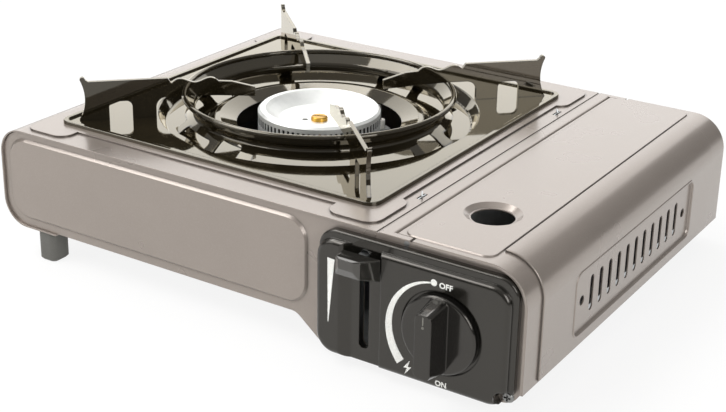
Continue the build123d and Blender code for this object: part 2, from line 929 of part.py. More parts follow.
guide_wall_depth = guide_pin_y + 3 * guide_pin_radius
with BuildPart() as yoke_guide:
    with BuildSketch(across(guide_x)):
        with Locations((front_inner, yoke_plate_low)):
            Rectangle(guide_wall_depth, yoke_plate_high - yoke_plate_low, align=(Align.MIN, Align.MIN))
    extrude(amount=yoke_sheet)
    with BuildSketch(facing(front_inner)):
        with Locations((guide_x, yoke_plate_low)):
            Rectangle(shield_foot, knob_height - yoke_plate_low, align=(Align.MIN, Align.MIN))
    extrude(amount=-yoke_sheet)
    with BuildSketch(across(guide_x)):
        for guide_z in (guide_pin_low, guide_pin_high):
            with Locations((front_y + guide_pin_y, guide_z)):
                Circle(guide_pin_radius)
    extrude(amount=-slide_gap - yoke_sheet)
save(yoke_guide, "yoke_guide")


# Gas valve: die-cast body behind the knob, on two columns that meet the front plate
valve_face = front_y + valve_front
valve_rear = valve_face + valve_length
with BuildPart() as gas_valve:
    with BuildSketch(facing(valve_face)):
        with Locations((knob_x, knob_height)):
            Circle(valve_radius)
            for turn in (1, -1):
                with Locations((turn * column_offset, turn * column_offset)):
                    Circle(column_radius)
            SlotCenterToCenter(2 * hypot(column_offset, column_offset), 2 * column_radius, rotation=45)
    extrude(amount=-column_radius)
    with BuildSketch(facing(valve_face)):
        with Locations((knob_x, knob_height)):
            Circle(valve_radius)
    extrude(amount=-valve_length)
    with BuildSketch(facing(front_inner)):
        for turn in (1, -1):
            with Locations((knob_x + turn * column_offset, knob_height + turn * column_offset)):
                Circle(column_radius)
    extrude(amount=front_inner - valve_face)
    with BuildSketch(facing(valve_rear)):
        with Locations((knob_x, inlet_height)):
            Circle(socket_radius)
    extrude(amount=-socket_length)
    with BuildSketch(Plane(origin=gas_section.origin, x_dir=(0, 0, 1), z_dir=gas_way)):
        Circle(outlet_radius)
    extrude(amount=outlet_length)
    with BuildSketch(facing(valve_face)):
        with Locations((knob_x, knob_height)):
            Circle(spindle_radius + run_gap)
    extrude(amount=-spindle_grip, mode=Mode.SUBTRACT)
    with BuildSketch(facing(front_inner)):
        for turn in (1, -1):
            with Locations((knob_x + turn * column_offset, knob_height + turn * column_offset)):
                Circle(screw_shank_radius + seat_gap)
    extrude(amount=-screw_length, mode=Mode.SUBTRACT)
save(gas_valve, "gas_valve")

inlet_face = valve_rear + socket_length
with BuildPart() as inlet_seal:
    with BuildSketch(facing(inlet_face)):
        with Locations((knob_x, inlet_height)):
            Circle(seal_radius)
            Circle(inlet_radius + seat_gap, mode=Mode.SUBTRACT)
    extrude(amount=-seal_thickness)
save(inlet_seal, "inlet_seal")

with BuildPart() as inlet_nozzle:
    with BuildSketch(facing(inlet_face)):
        with Locations((knob_x, inlet_height)):
            Circle(inlet_radius)
            Circle(inlet_bore, mode=Mode.SUBTRACT)
    extrude(amount=-inlet_length)
    chamfer(inlet_nozzle.faces().sort_by(Axis.Y)[-1].edges().sort_by(SortBy.LENGTH)[-1], inlet_radius / 4)
save(inlet_nozzle, "inlet_nozzle")

with BuildPart() as injector:
    with BuildSketch(gas_section):
        with BuildLine():
            Polyline(
                (outlet_length, injector_bore),
                (outlet_length, injector_radius),
                (outlet_length + injector_length / 2, injector_radius),
                (outlet_length + injector_length, injector_radius / 2),
                (outlet_length + injector_length, injector_bore),
                close=True,
            )
        make_face()
    revolve(axis=gas_axis)
save(injector, "injector")


# Mixing tube: a sleeve with air windows on the valve outlet, then a plain run to the burner
tube_end = gas_run - neck_radius
cone_start = sleeve_start + sleeve_length
tube_start = cone_start + sleeve_cone
with BuildPart() as mixing_tube:
    with BuildSketch(gas_section):
        with BuildLine():
            Polyline(
                (sleeve_start, outlet_radius + seat_gap),
                (sleeve_start, sleeve_radius),
                (cone_start, sleeve_radius),
                (tube_start, tube_radius),
                (tube_end, tube_radius),
                (tube_end, tube_radius - tube_wall),
                (tube_start, tube_radius - tube_wall),
                (cone_start, outlet_radius + seat_gap),
                close=True,
            )
        make_face()
    revolve(axis=gas_axis)
    window_start = outlet_length + seat_gap
    window_origin = gas_section.origin + gas_way * window_start
    with BuildSketch(Plane(origin=window_origin, x_dir=(0, 0, 1), z_dir=gas_way)):
        Rectangle(outlet_radius, 4 * sleeve_radius)
        Rectangle(4 * sleeve_radius, outlet_radius)
        Circle(injector_radius, mode=Mode.SUBTRACT)
    extrude(amount=cone_start - window_start, mode=Mode.SUBTRACT)
save(mixing_tube, "mixing_tube")


# Burner base: foot, neck with the tube's socket, and the bowl under the cap
base_bottom = pan_hull_top
lug_root = base_rim_radius - 2 * base_wall
with BuildPart() as burner_base:
    with BuildSketch(upright(0)):
        with BuildLine():
            Polyline(
                (0, base_bottom),
                (base_foot_radius, base_bottom),
                (base_foot_radius, base_bottom + socket_wall),
                (neck_radius, base_bottom + 2 * socket_wall),
                (neck_radius, neck_top),
                (base_rim_radius, flare_top),
                (base_rim_radius, base_rim_height),
                (base_rim_radius - base_wall, base_rim_height),
                (base_rim_radius - base_wall, flare_top + base_wall),
                (throat_radius, neck_top + base_wall),
                (throat_radius, base_bottom + 2 * socket_wall),
                (0, base_bottom + 2 * socket_wall),
                close=True,
            )
        make_face()
    revolve(axis=burner_axis)
    socket_origin = Vector(burner_x, mid_y, knob_height)
    with BuildSketch(Plane(origin=socket_origin, x_dir=(0, 0, 1), z_dir=-gas_way)):
        Circle(tube_radius + socket_wall - 1)
    extrude(amount=neck_radius + socket_wall * 3)
    with BuildSketch(Plane(origin=socket_origin, x_dir=(0, 0, 1), z_dir=-gas_way)):
        Circle(throat_radius)
    extrude(amount=neck_radius, mode=Mode.SUBTRACT)
    with BuildSketch(level(base_bottom + 2 * socket_wall)):
        with Locations((burner_x, mid_y)):
            Circle(throat_radius)
    extrude(amount=neck_top - base_bottom - 2 * socket_wall, mode=Mode.SUBTRACT)
    with BuildSketch(Plane(origin=socket_origin - gas_way * neck_radius, x_dir=(0, 0, 1), z_dir=-gas_way)):
        Circle(tube_radius + seat_gap)
    extrude(amount=socket_wall * 4, mode=Mode.SUBTRACT)
    with BuildSketch(level(lug_height)):
        with Locations(Location((burner_x, mid_y), electrode_angle)):
            with Locations((lug_root, 0)):
                Rectangle(
                    electrode_reach + lug_width / 2 - lug_root, lug_width, align=(Align.MIN, Align.CENTER)
                )
    extrude(amount=lug_thickness)
    with BuildSketch(level(lug_height)):
        with Locations((electrode_x, electrode_y)):
            Circle(insulator_radius + seat_gap)
    extrude(amount=lug_thickness, mode=Mode.SUBTRACT)
    with BuildSketch(level(base_bottom)):
        with Locations((burner_x, mid_y)):
            Circle(burner_bolt_radius + seat_gap)
            with GridLocations(foot_bolt_spread, 1, 2, 1):
                Circle(screw_shank_radius + seat_gap)
    extrude(amount=2 * socket_wall, mode=Mode.SUBTRACT)
    with BuildSketch(level(base_bottom + socket_wall)):
        with Locations((burner_x, mid_y)):
            with GridLocations(foot_bolt_spread, 1, 2, 1):
                Circle(screw_head_radius + seat_gap)
    extrude(amount=socket_wall, mode=Mode.SUBTRACT)
save(burner_base, "burner_base")


# Burner cap: a ring of flame ports round a dished top
bowl_floor = cap_top - cap_bowl_depth
bowl_radius = cap_radius - cap_rim
port_root = base_rim_radius - base_wall
with BuildPart() as burner_cap:
    with BuildSketch(upright(0)):
        with BuildLine():
            Polyline(
                (burner_bolt_radius + seat_gap, bowl_floor),
                (bowl_radius / 3, bowl_floor),
                (bowl_radius * 3 / 4, bowl_floor + cap_skin * 0.8),
                (bowl_radius - cap_skin, cap_top - cap_skin),
                (bowl_radius, cap_top),
                (cap_radius - disc_edge, cap_top),
                (cap_radius, cap_top - disc_edge),
                (cap_radius, cap_top - cap_height),
                (base_rim_radius + seat_gap, cap_top - cap_height),
                (base_rim_radius + seat_gap, base_rim_height),
                (port_root, base_rim_height),
                (port_root, cap_top - port_drop + slide_gap),
                (bowl_radius - cap_skin, cap_top - 2.2 * cap_skin),
                (bowl_radius * 3 / 4, bowl_floor - cap_skin * 0.2),
                (bowl_radius / 3, bowl_floor - cap_skin),
                (burner_bolt_radius + seat_gap, bowl_floor - cap_skin),
                close=True,
            )
        make_face()
    revolve(axis=burner_axis)
    with BuildSketch(level(cap_top - port_drop - port_height)):
        with Locations((burner_x, mid_y)):
            with PolarLocations(cap_radius, port_count):
                Rectangle(2 * (cap_radius - port_root + cap_skin), port_width)
    extrude(amount=port_height, mode=Mode.SUBTRACT)
    with BuildSketch(level(bowl_floor - cap_skin)):
        with Locations(Location((burner_x, mid_y), pilot_angle)):
            with Locations((pilot_hole_reach, 0)):
                Circle(pilot_hole_radius)
    extrude(amount=cap_skin * 1.5, mode=Mode.SUBTRACT)
save(burner_cap, "burner_cap")

with BuildPart() as burner_bolt:
    with BuildSketch(level(bowl_floor)):
        with Locations((burner_x, mid_y)):
            Circle(burner_bolt_head)
    extrude(amount=bolt_head_height)
    fillet(burner_bolt.faces().sort_by(Axis.Z)[-1].edges(), bolt_head_height / 2)
    with BuildSketch(level(bowl_floor + bolt_head_height)):
        with Locations((burner_x, mid_y)):
            Rectangle(2 * burner_bolt_head, bolt_slot_width, rotation=bolt_slot_angle)
    extrude(amount=-bolt_slot_depth, mode=Mode.SUBTRACT)
    with BuildSketch(level(base_bottom)):
        with Locations((burner_x, mid_y)):
            Circle(burner_bolt_radius)
    extrude(amount=bowl_floor - base_bottom)
save(burner_bolt, "burner_bolt")


# Spark electrode in its insulator, and the lead that joins it to the igniter
with BuildPart() as electrode_insulator:
    with BuildSketch(level(insulator_bottom)):
        with Locations((electrode_x, electrode_y)):
            Circle(insulator_radius)
    extrude(amount=insulator_top - insulator_bottom)
    with BuildSketch(level(insulator_top)):
        with Locations((electrode_x, electrode_y)):
            Circle(electrode_radius + seat_gap)
    extrude(amount=-electrode_socket, mode=Mode.SUBTRACT)
save(electrode_insulator, "electrode_insulator")

electrode_foot = insulator_top - electrode_socket + slide_gap
with BuildPart() as electrode:
    with BuildLine(upright(electrode_angle)) as electrode_line:
        FilletPolyline(
            (electrode_reach, electrode_foot),
            (electrode_reach, electrode_top - electrode_radius),
            (cap_radius + spark_gap, electrode_top - electrode_radius),
            radius=electrode_bend,
        )
    with BuildSketch(level(electrode_foot)):
        with Locations((electrode_x, electrode_y)):
            Circle(electrode_radius)
    sweep()
save(electrode, "electrode")

terminal_x = piezo_left + terminal_inset
lead_start = piezo_y + piezo_radius + terminal_length
lead_turn_x = (shield_x + electrode_x) / 2
lead_points = (
    (terminal_x, lead_start, piezo_z),
    (terminal_x, lead_crossing_y, piezo_z),
    (lead_turn_x, lead_crossing_y, piezo_z),
    (lead_turn_x, electrode_y, lead_low),
    (electrode_x, electrode_y, lead_low),
    (electrode_x, electrode_y, insulator_bottom),
)
with BuildPart() as igniter_lead:
    with BuildLine() as lead_line:
        FilletPolyline(*lead_points, radius=lead_bends)
    with BuildSketch(facing(lead_start)):
        with Locations((terminal_x, piezo_z)):
            Circle(lead_radius)
    sweep()
save(igniter_lead, "igniter_lead")
lead_length = sum(piece.length for piece in lead_line.edges())
print("igniter lead: bend radii", lead_bends, "length", round(lead_length, 2))

with BuildPart() as piezo_igniter:
    with BuildSketch(across(piezo_left)):
        with Locations((piezo_y, piezo_z)):
            Circle(piezo_radius)
    extrude(amount=piezo_right - piezo_left)
    with BuildSketch(facing(piezo_y)):
        with Locations((terminal_x, piezo_z)):
            Circle(terminal_radius)
    extrude(amount=piezo_y - lead_start)
    with BuildSketch(across(piezo_right)):
        with Locations((piezo_y, piezo_z)):
            Circle(plunger_radius + run_gap)
    extrude(amount=plunger_show - plunger_length - plunger_stroke - slide_gap, mode=Mode.SUBTRACT)
save(piezo_igniter, "piezo_igniter")

with BuildPart() as igniter_plunger:
    with BuildSketch(across(piezo_right + plunger_show)):
        with Locations((piezo_y, piezo_z)):
            Circle(plunger_radius)
    extrude(amount=-plunger_length)
    fillet(igniter_plunger.faces().sort_by(Axis.X)[-1].edges(), plunger_radius / 4)
save(igniter_plunger, "igniter_plunger")


# Drip tray: square enamelled pressing with a round well and a ridge round the burner
collar_top = tray_hole_radius + collar_run
with BuildPart() as drip_tray:
    with BuildSketch(level(seat_top)):
        with Locations((burner_x, mid_y)):
            RectangleRounded(tray_size, tray_size, tray_corner)
            Circle(well_radius, mode=Mode.SUBTRACT)
    extrude(amount=sheet)
    with BuildSketch(level(tray_top)):
        with Locations((burner_x, mid_y)):
            RectangleRounded(tray_size, tray_size, tray_corner)
            RectangleRounded(
                tray_size - 2 * rim_width,
                tray_size - 2 * rim_width,
                tray_corner - rim_width,
                mode=Mode.SUBTRACT,
            )
    extrude(amount=rim_raise)
    fillet(drip_tray.faces().sort_by(Axis.Z)[-1].edges(), rim_raise * 0.45)
    with BuildSketch(upright(0)):
        with BuildLine():
            FilletPolyline(
                (well_radius + rim_width, tray_top),
                (well_radius, tray_top),
                (well_radius - well_slope, well_floor),
                (collar_top + collar_top_width + collar_foot_run, well_floor),
                (collar_top + collar_top_width, well_floor + collar_rise),
                (collar_top, well_floor + collar_rise),
                (tray_hole_radius, well_floor - collar_lip_drop),
                radius=fold_radius,
            )
            offset(amount=sheet, side=Side.LEFT)
        make_face()
    revolve(axis=burner_axis)
save(drip_tray, "drip_tray")


# Windshield ring: a drawn band, pinched at its waist, on a skirt cut into feet by slots and arches
ring_waist = ring_radius - ring_waist_inset
ring_skirt = ring_waist + ring_skirt_run
ring_windows = (
    (ring_long_slot, ring_slot_height),
    (ring_short_slot, ring_slot_height),
    (ring_arch, ring_arch_height),
)
with BuildPart() as windshield_ring:
    with BuildSketch(upright(0)):
        with BuildLine():
            FilletPolyline(
                (ring_skirt + ring_skirt_run / 2, well_floor - ring_waist_height / 2),
                (ring_waist, well_floor + ring_waist_height),
                (ring_waist, well_floor + ring_throat_height),
                (ring_radius, well_floor + ring_height),
                radius=ring_fold,
            )
            offset(amount=ring_wall, side=Side.RIGHT)
        make_face()
        with Locations((ring_radius, well_floor + ring_height)):
            Circle(ring_bead)
    revolve(axis=burner_axis)
    with BuildSketch(level(well_floor)):
        with Locations((burner_x, mid_y)):
            Circle(well_radius)
    extrude(amount=-ring_waist_height, mode=Mode.SUBTRACT)
    for quarter in range(4):
        for (window_from, window_to), window_height in ring_windows:
            window_middle = (window_from + window_to) / 2 + quarter * quarter_turn
            window_width = 2 * ring_skirt * sin(radians((window_to - window_from) / 2))
            with BuildSketch(outward(window_middle)):
                RectangleRounded(window_width, 2 * window_height, ring_window_corner)
            extrude(amount=well_radius, mode=Mode.SUBTRACT)
save(windshield_ring, "windshield_ring")


# Pan arms: pressed plates on the tray's corners that reach in over the ring
arm_clear = ring_top + ring_seat_gap
arm_names = {
    -45: "pan_arm_front_right",
    45: "pan_arm_rear_right",
    135: "pan_arm_rear_left",
    -135: "pan_arm_front_left",
}


arm_window_top = tray_top + arm_window_height
horn_top = arm_top + horn_rise
bar_end = arm_reach - arm_bar
tooth_valley = arm_top - tooth_drop
tooth_peak = arm_top - tooth_top_drop
nose_heel_at = (arm_nose + nose_heel, arm_top - nose_heel_drop)
for arm_angle, arm_name in arm_names.items():
    with BuildPart() as arm:
        with BuildSketch(upright(arm_angle)):
            with BuildLine():
                ThreePointArc(
                    (arm_reach, tray_top),
                    (arm_reach - horn_waist, tray_top + horn_waist_height),
                    (arm_reach - horn_lean, horn_top - horn_tip),
                )
                ThreePointArc(
                    (arm_reach - horn_lean, horn_top - horn_tip),
                    (arm_reach - horn_lean - horn_tip, horn_top),
                    (arm_reach - horn_lean - 2 * horn_tip, horn_top - horn_tip),
                )
                Polyline(
                    (arm_reach - horn_lean - 2 * horn_tip, horn_top - horn_tip),
                    (arm_reach - horn_run, arm_top),
                    (bar_end, arm_top),
                    (bar_end - tooth_step, tooth_valley),
                )
                Spline(
                    (bar_end - tooth_step, tooth_valley),
                    (bar_end - tooth_first_top, tooth_peak),
                    (bar_end - tooth_gap, tooth_valley),
                    (bar_end - tooth_second_top, tooth_peak),
                    (bar_end - tooth_end, tooth_valley),
                )
                Polyline(
                    (bar_end - tooth_end, tooth_valley),
                    (bar_end - nose_slope_start, arm_top - nose_slope_drop),
                    (arm_nose, arm_top - nose_top_drop),
                    (arm_nose, arm_top - nose_low_drop),
                    nose_heel_at,
                    (ring_radius - 2 * ring_bead, arm_clear),
                )
                FilletPolyline(
                    (ring_radius - 2 * ring_bead, arm_clear),
                    (arm_leg, arm_clear),
                    (arm_leg, tray_top),
                    radius=arm_shoulder,
                )
                Line((arm_leg, tray_top), (arm_window_start, tray_top))
                FilletPolyline(
                    (arm_window_start, tray_top),
                    (arm_window_start, arm_window_top),
                    (arm_window_end, arm_window_top),
                    (arm_window_end, tray_top),
                    radius=arm_window_corner,
                )
                Line((arm_window_end, tray_top), (arm_reach, tray_top))
            make_face()
        extrude(amount=arm_thickness / 2, both=True)
    save(arm, arm_name)


# Cartridge lid: a bent sheet with a raised bulge, a vent panel and a viewing hole
bulge_front = front_y + bulge_front_margin
bulge_rear = rear_y - bulge_rear_margin
bulge_left = case_right - bulge_width
pad_left = lid_edge + fold_radius
pad_top = case_top + pad_raise
sight_x = seam_x + sight_inset
sight_y = front_y + sight_front


def lid_line(left, bottom):
    """Line along the outside of the lid, from its lower edge up and over to the left."""
    return FilletPolyline((lid_side, bottom), (lid_side, case_top), (left, case_top), radius=lid_radius)


with BuildPart() as lid_bulge:
    with BuildSketch(facing(bulge_rear)):
        with BuildLine():
            lid_line(bulge_left, lid_bottom + fold_radius)
            offset(amount=bulge_raise, side=Side.RIGHT)
        make_face()
    extrude(amount=bulge_rear - bulge_front)
    bulge_top = lid_bulge.faces().sort_by(Axis.Z)[-1]
    bulge_side = lid_bulge.faces().sort_by(Axis.X)[-1]
    bulge_bend = lid_bulge.faces().filter_by(GeomType.CYLINDER).sort_by(SortBy.AREA)[-1]
    bulge_rims = bulge_top.edges().sort_by(Axis.X)[:1]
    for bulge_skin in (bulge_top, bulge_bend, bulge_side):
        bulge_rims += bulge_skin.edges().filter_by(Axis.Y, reverse=True)
    fillet(bulge_rims, bulge_edge)

with BuildPart() as cartridge_lid:
    with BuildSketch(facing(rear_y)):
        with BuildLine():
            lid_line(lid_edge, lid_bottom)
            offset(amount=sheet, side=Side.LEFT)
        make_face()
    extrude(amount=case_depth)
    with BuildSketch(facing(front_y), facing(rear_y - sheet)):
        with BuildLine():
            lid_line(lid_edge, lid_bottom)
            offset(amount=lid_lip, side=Side.LEFT)
        make_face()
    extrude(amount=-sheet)
    add(lid_bulge.part)
    with BuildSketch(level(case_top)):
        with Locations(((pad_left + bulge_left) / 2, mid_y)):
            RectangleRounded(bulge_left - pad_left - fold_radius, case_depth - 2 * pad_margin, pad_corner)
    extrude(amount=pad_raise, taper=emboss_slope)
    # Corners cut back beside the hinge pins, and the two ears that turn on them
    with BuildSketch(level(pad_top)):
        with Locations((hinge_x + hinge_clear, front_y), (hinge_x + hinge_clear, rear_y)):
            Rectangle(lid_width, 2 * hinge_notch, align=(Align.MAX, Align.CENTER))
    extrude(amount=-ear_drop, mode=Mode.SUBTRACT)
    ear_front = front_y + hinge_notch + slide_gap
    ear_rear = rear_y - hinge_notch - slide_gap - ear_thickness
    with BuildSketch(facing(ear_front), facing(ear_rear)):
        with Locations((hinge_x, hinge_z)):
            Circle(2 * hinge_pin_radius)
            Rectangle(4 * hinge_pin_radius, hinge_drop - sheet / 2, align=(Align.CENTER, Align.MIN))
            Circle(hinge_pin_radius + run_gap, mode=Mode.SUBTRACT)
    extrude(amount=-ear_thickness)
    # Vent panel in the bulge
    with BuildSketch(across(case_right)):
        with Locations((mid_y, vent_middle)):
            RectangleRounded(vent_width, vent_height, vent_corner)
    with BuildSketch(across(lid_side)):
        with Locations((mid_y, vent_middle)):
            RectangleRounded(
                vent_width - 2 * vent_border, vent_height - 2 * vent_border, vent_corner - vent_border
            )
    loft(mode=Mode.SUBTRACT)
    with BuildSketch(across(case_right)):
        with Locations((mid_y, vent_middle)):
            with GridLocations(vent_pitch, 1, vent_slots, 1):
                SlotOverall(vent_slot_length, vent_slot_width, rotation=90)
            with GridLocations(2 * vent_hole_reach, 1, 2, 1):
                Circle(vent_hole_radius)
    extrude(amount=-bulge_raise - 2 * sheet, mode=Mode.SUBTRACT)
    # Viewing hole in its dish
    with BuildSketch(level(pad_top)):
        with Locations((sight_x, sight_y)):
            Circle(sight_dish_radius)
    extrude(amount=-pad_raise - sheet, mode=Mode.SUBTRACT)
    sight_plane = Plane(origin=(sight_x, sight_y, 0), x_dir=(1, 0, 0), z_dir=(0, -1, 0))
    with BuildSketch(sight_plane):
        with BuildLine():
            Polyline(
                (sight_dish_radius + sheet, pad_top),
                (sight_dish_radius, pad_top),
                (sight_hole_radius + sheet, pad_top - sight_dish_depth),
                (sight_hole_radius, pad_top - sight_dish_depth),
                (sight_hole_radius, pad_top - sight_dish_depth - sheet),
                (sight_hole_radius + 2 * sheet, pad_top - sight_dish_depth - sheet),
                (sight_dish_radius, case_top - sheet),
                (sight_dish_radius + sheet, case_top - sheet),
                close=True,
            )
        make_face()
    revolve(axis=Axis((sight_x, sight_y, 0), (0, 0, 1)))
save(cartridge_lid, "cartridge_lid")

for pin_name, pin_start, pin_way in (
    ("hinge_pin_front", front_web, 1),
    ("hinge_pin_rear", rear_web, -1),
):
    with BuildPart() as hinge_pin:
        with BuildSketch(facing(pin_start)):
            with Locations((hinge_x, hinge_z)):
                Circle(hinge_pin_radius)
        extrude(amount=-pin_way * hinge_pin_length)
    save(hinge_pin, pin_name)


# Cradle and leaf spring that hold the cartridge
cradle_y = mid_y + cradle_middle
saddle_radius = cartridge_radius + cradle_clearance
with BuildPart() as cartridge_cradle:
    with BuildSketch(level(pan_bay_top)):
        with Locations((knob_x, cradle_y)):
            Rectangle(2 * cradle_half_width, cradle_span)
            Rectangle(2 * cradle_foot, cradle_span - 4 * cradle_foot, mode=Mode.SUBTRACT)
    extrude(amount=cradle_sheet)
    with BuildSketch(facing(cradle_y - cradle_span / 2), facing(cradle_y + cradle_span / 2 - cradle_sheet)):
        with Locations((knob_x, pan_bay_top)):
            Rectangle(2 * cradle_half_width, cradle_rise, align=(Align.CENTER, Align.MIN))
        with Locations((knob_x, inlet_height)):
            Circle(saddle_radius, mode=Mode.SUBTRACT)
    extrude(amount=-cradle_sheet)
save(cartridge_cradle, "cartridge_cradle")

with BuildPart() as cartridge_spring:
    with BuildSketch(across(knob_x - spring_width / 2)):
        with BuildLine():
            FilletPolyline(
                (rear_inner, spring_low),
                (rear_inner, spring_low + spring_foot),
                (rear_inner - spring_bow, spring_low + 2.5 * spring_foot),
                (rear_inner - spring_bow, spring_high - spring_foot),
                (rear_inner - spring_bow / 3, spring_high),
                radius=(spring_bow, spring_bow, spring_bow),
            )
            offset(amount=sheet, side=Side.LEFT)
        make_face()
    extrude(amount=spring_width)
save(cartridge_spring, "cartridge_spring")


# Screws, each kind in one group
case_screw_places = ((front_web, 1, case_screw_x, case_screw_height),) + tuple(
    (rear_web, -1, rear_x, rear_z) for rear_x, rear_z in rear_screws
)
valve_screw_places = tuple(
    (front_web, 1, knob_x + turn * column_offset, knob_height + turn * column_offset) for turn in (1, -1)
)
for group_name, places in (("case_screws", case_screw_places), ("valve_screws", valve_screw_places)):
    with BuildPart() as screws:
        for web, inward, screw_x, screw_z in places:
            with BuildSketch(facing(web)):
                with Locations((screw_x, screw_z)):
                    Circle(screw_head_radius)
            extrude(amount=inward * screw_head_height)
            with BuildSketch(facing(web)):
                with Locations((screw_x, screw_z)):
                    Circle(screw_shank_radius)
            extrude(amount=-inward * (screw_length + sheet - slide_gap))
    save(screws, group_name)

with BuildPart() as burner_screws:
    with BuildSketch(level(base_bottom + socket_wall)):
        with Locations((burner_x, mid_y)):
            with GridLocations(foot_bolt_spread, 1, 2, 1):
                Circle(screw_head_radius)
    extrude(amount=screw_head_height)
    with BuildSketch(level(base_bottom + socket_wall)):
        with Locations((burner_x, mid_y)):
            with GridLocations(foot_bolt_spread, 1, 2, 1):
                Circle(screw_shank_radius)
    extrude(amount=-socket_wall - 2 * sheet)
save(burner_screws, "burner_screws")
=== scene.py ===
"""Portable gas stove, dressed for its photograph.

The solids keep their meshes and places. This script gives them their finishes, adds the printed marks,
the grey pointer on the grip painted as a highlight, the cross-recessed screws and the bead round the
lid's vents, and sets the camera, the floor and the lamps of the photograph. Metres, in the stove's own
frame; sizes kept in millimetres are turned into metres where they are used.
"""

import logging
import math
from dataclasses import dataclass
from enum import Enum
from typing import Any, Mapping, Optional, Sequence

import bmesh
import bpy
from mathutils import Matrix, Vector


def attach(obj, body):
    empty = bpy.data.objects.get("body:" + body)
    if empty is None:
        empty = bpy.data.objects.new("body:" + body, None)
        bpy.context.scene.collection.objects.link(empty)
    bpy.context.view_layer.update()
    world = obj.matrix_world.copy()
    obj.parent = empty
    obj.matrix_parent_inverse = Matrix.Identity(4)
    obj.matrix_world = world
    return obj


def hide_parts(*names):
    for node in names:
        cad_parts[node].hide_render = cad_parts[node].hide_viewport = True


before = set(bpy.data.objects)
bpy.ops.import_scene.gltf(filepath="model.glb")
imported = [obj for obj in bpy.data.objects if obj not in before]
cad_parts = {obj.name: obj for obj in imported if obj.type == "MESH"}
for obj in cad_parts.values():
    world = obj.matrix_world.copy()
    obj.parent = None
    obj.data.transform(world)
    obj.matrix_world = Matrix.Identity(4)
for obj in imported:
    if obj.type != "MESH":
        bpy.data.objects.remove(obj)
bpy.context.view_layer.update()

LOG = logging.getLogger("stove")
MM = 0.001
PHOTO_WIDTH = 726
PHOTO_HEIGHT = 412

# Sockets of a Map Range node, in order
RANGE = ("Value", "From Min", "From Max", "To Min", "To Max")
# Colour sockets of a Mix node, by number because their names repeat
MIX_SHARE, MIX_FIRST, MIX_SECOND, MIX_RESULT = 0, 6, 7, 2
# Nearly all values of a noise lie between these two
NOISE_BAND = (0.3, 0.7)
# Radians that a Wave texture turns through in one unit
WAVE_RADIANS = 20.0
BEVEL_SAMPLES = 4
SHADE_SAMPLES = 6


def srgb(hex_code: str) -> tuple[float, float, float, float]:
    """Turn an sRGB hex colour into linear values.

    Args:
        hex_code: six hex digits, with or without a leading hash.

    Returns:
        Linear red, green, blue and an alpha of one.
    """
    digits = hex_code.lstrip("#")
    parts = [int(digits[i : i + 2], 16) / 255 for i in (0, 2, 4)]
    linear = [p / 12.92 if p <= 0.04045 else ((p + 0.055) / 1.055) ** 2.4 for p in parts]
    return linear[0], linear[1], linear[2], 1.0


def per_mm(size_mm: float) -> float:
    """Texture scale, in repeats per metre, of a pattern whose grain has this size in millimetres."""
    return 1.0 / (size_mm * MM)


def put(
    tree: bpy.types.NodeTree,
    kind: str,
    settings: Optional[Mapping[str, Any]] = None,
    inputs: Optional[Mapping[Any, Any]] = None,
) -> bpy.types.Node:
    """Add a node with its settings and its links.

    Args:
        tree: node tree that takes the node.
        kind: Blender's name of the node type.
        settings: attributes of the node.
        inputs: input sockets by name or number, each with a value or a socket to link from.

    Returns:
        The new node.
    """
    made = tree.nodes.new(kind)
    for name, value in (settings or {}).items():
        setattr(made, name, value)
    for name, value in (inputs or {}).items():
        if isinstance(value, bpy.types.NodeSocket):
            tree.links.new(value, made.inputs[name])
        else:
            made.inputs[name].default_value = value
    return made


class Part(Enum):
    """Bodies of the stove that the pieces made here ride on."""

    CASING = "casing"
    DIAL = "dial"
    LID = "lid"


@dataclass(frozen=True)
class Finish:
    """One real material and the way its surface was made."""

    name: str
    colour: str
    roughness: float
    metallic: float = 0.0
    edge_mm: float = 0.35

    def material(self) -> bpy.types.Material:
        """Make this finish's material once, and give it back each time.

        Returns:
            The material.
        """
        found = bpy.data.materials.get(self.name)
        if found:
            return found
        made = bpy.data.materials.new(self.name)
        made.use_nodes = True
        made.diffuse_color = srgb(self.colour)
        tree = made.node_tree
        tree.nodes.clear()
        place = put(tree, "ShaderNodeTexCoord")
        shader = put(
            tree,
            "ShaderNodeBsdfPrincipled",
            inputs={
                "Base Color": srgb(self.colour),
                "Metallic": self.metallic,
                "Roughness": self.roughness,
            },
        )
        # Rolled, pressed and moulded edges are never knife sharp: they catch a thin line of light
        rounded = put(tree, "ShaderNodeBevel", {"samples": BEVEL_SAMPLES}, {"Radius": self.edge_mm * MM})
        self.surface(tree, place.outputs["Object"], shader, rounded.outputs["Normal"])
        put(tree, "ShaderNodeOutputMaterial", inputs={"Surface": shader.outputs["BSDF"]})
        return made

    def surface(
        self,
        tree: bpy.types.NodeTree,
        place: bpy.types.NodeSocket,
        shader: bpy.types.Node,
        normal: bpy.types.NodeSocket,
    ) -> None:
        """Give the shader its pattern.

        Args:
            tree: the material's node tree.
            place: Object coordinates; not used here.
            shader: the material's shader.
            normal: normal with its edges eased.
        """
        tree.links.new(normal, shader.inputs["Normal"])


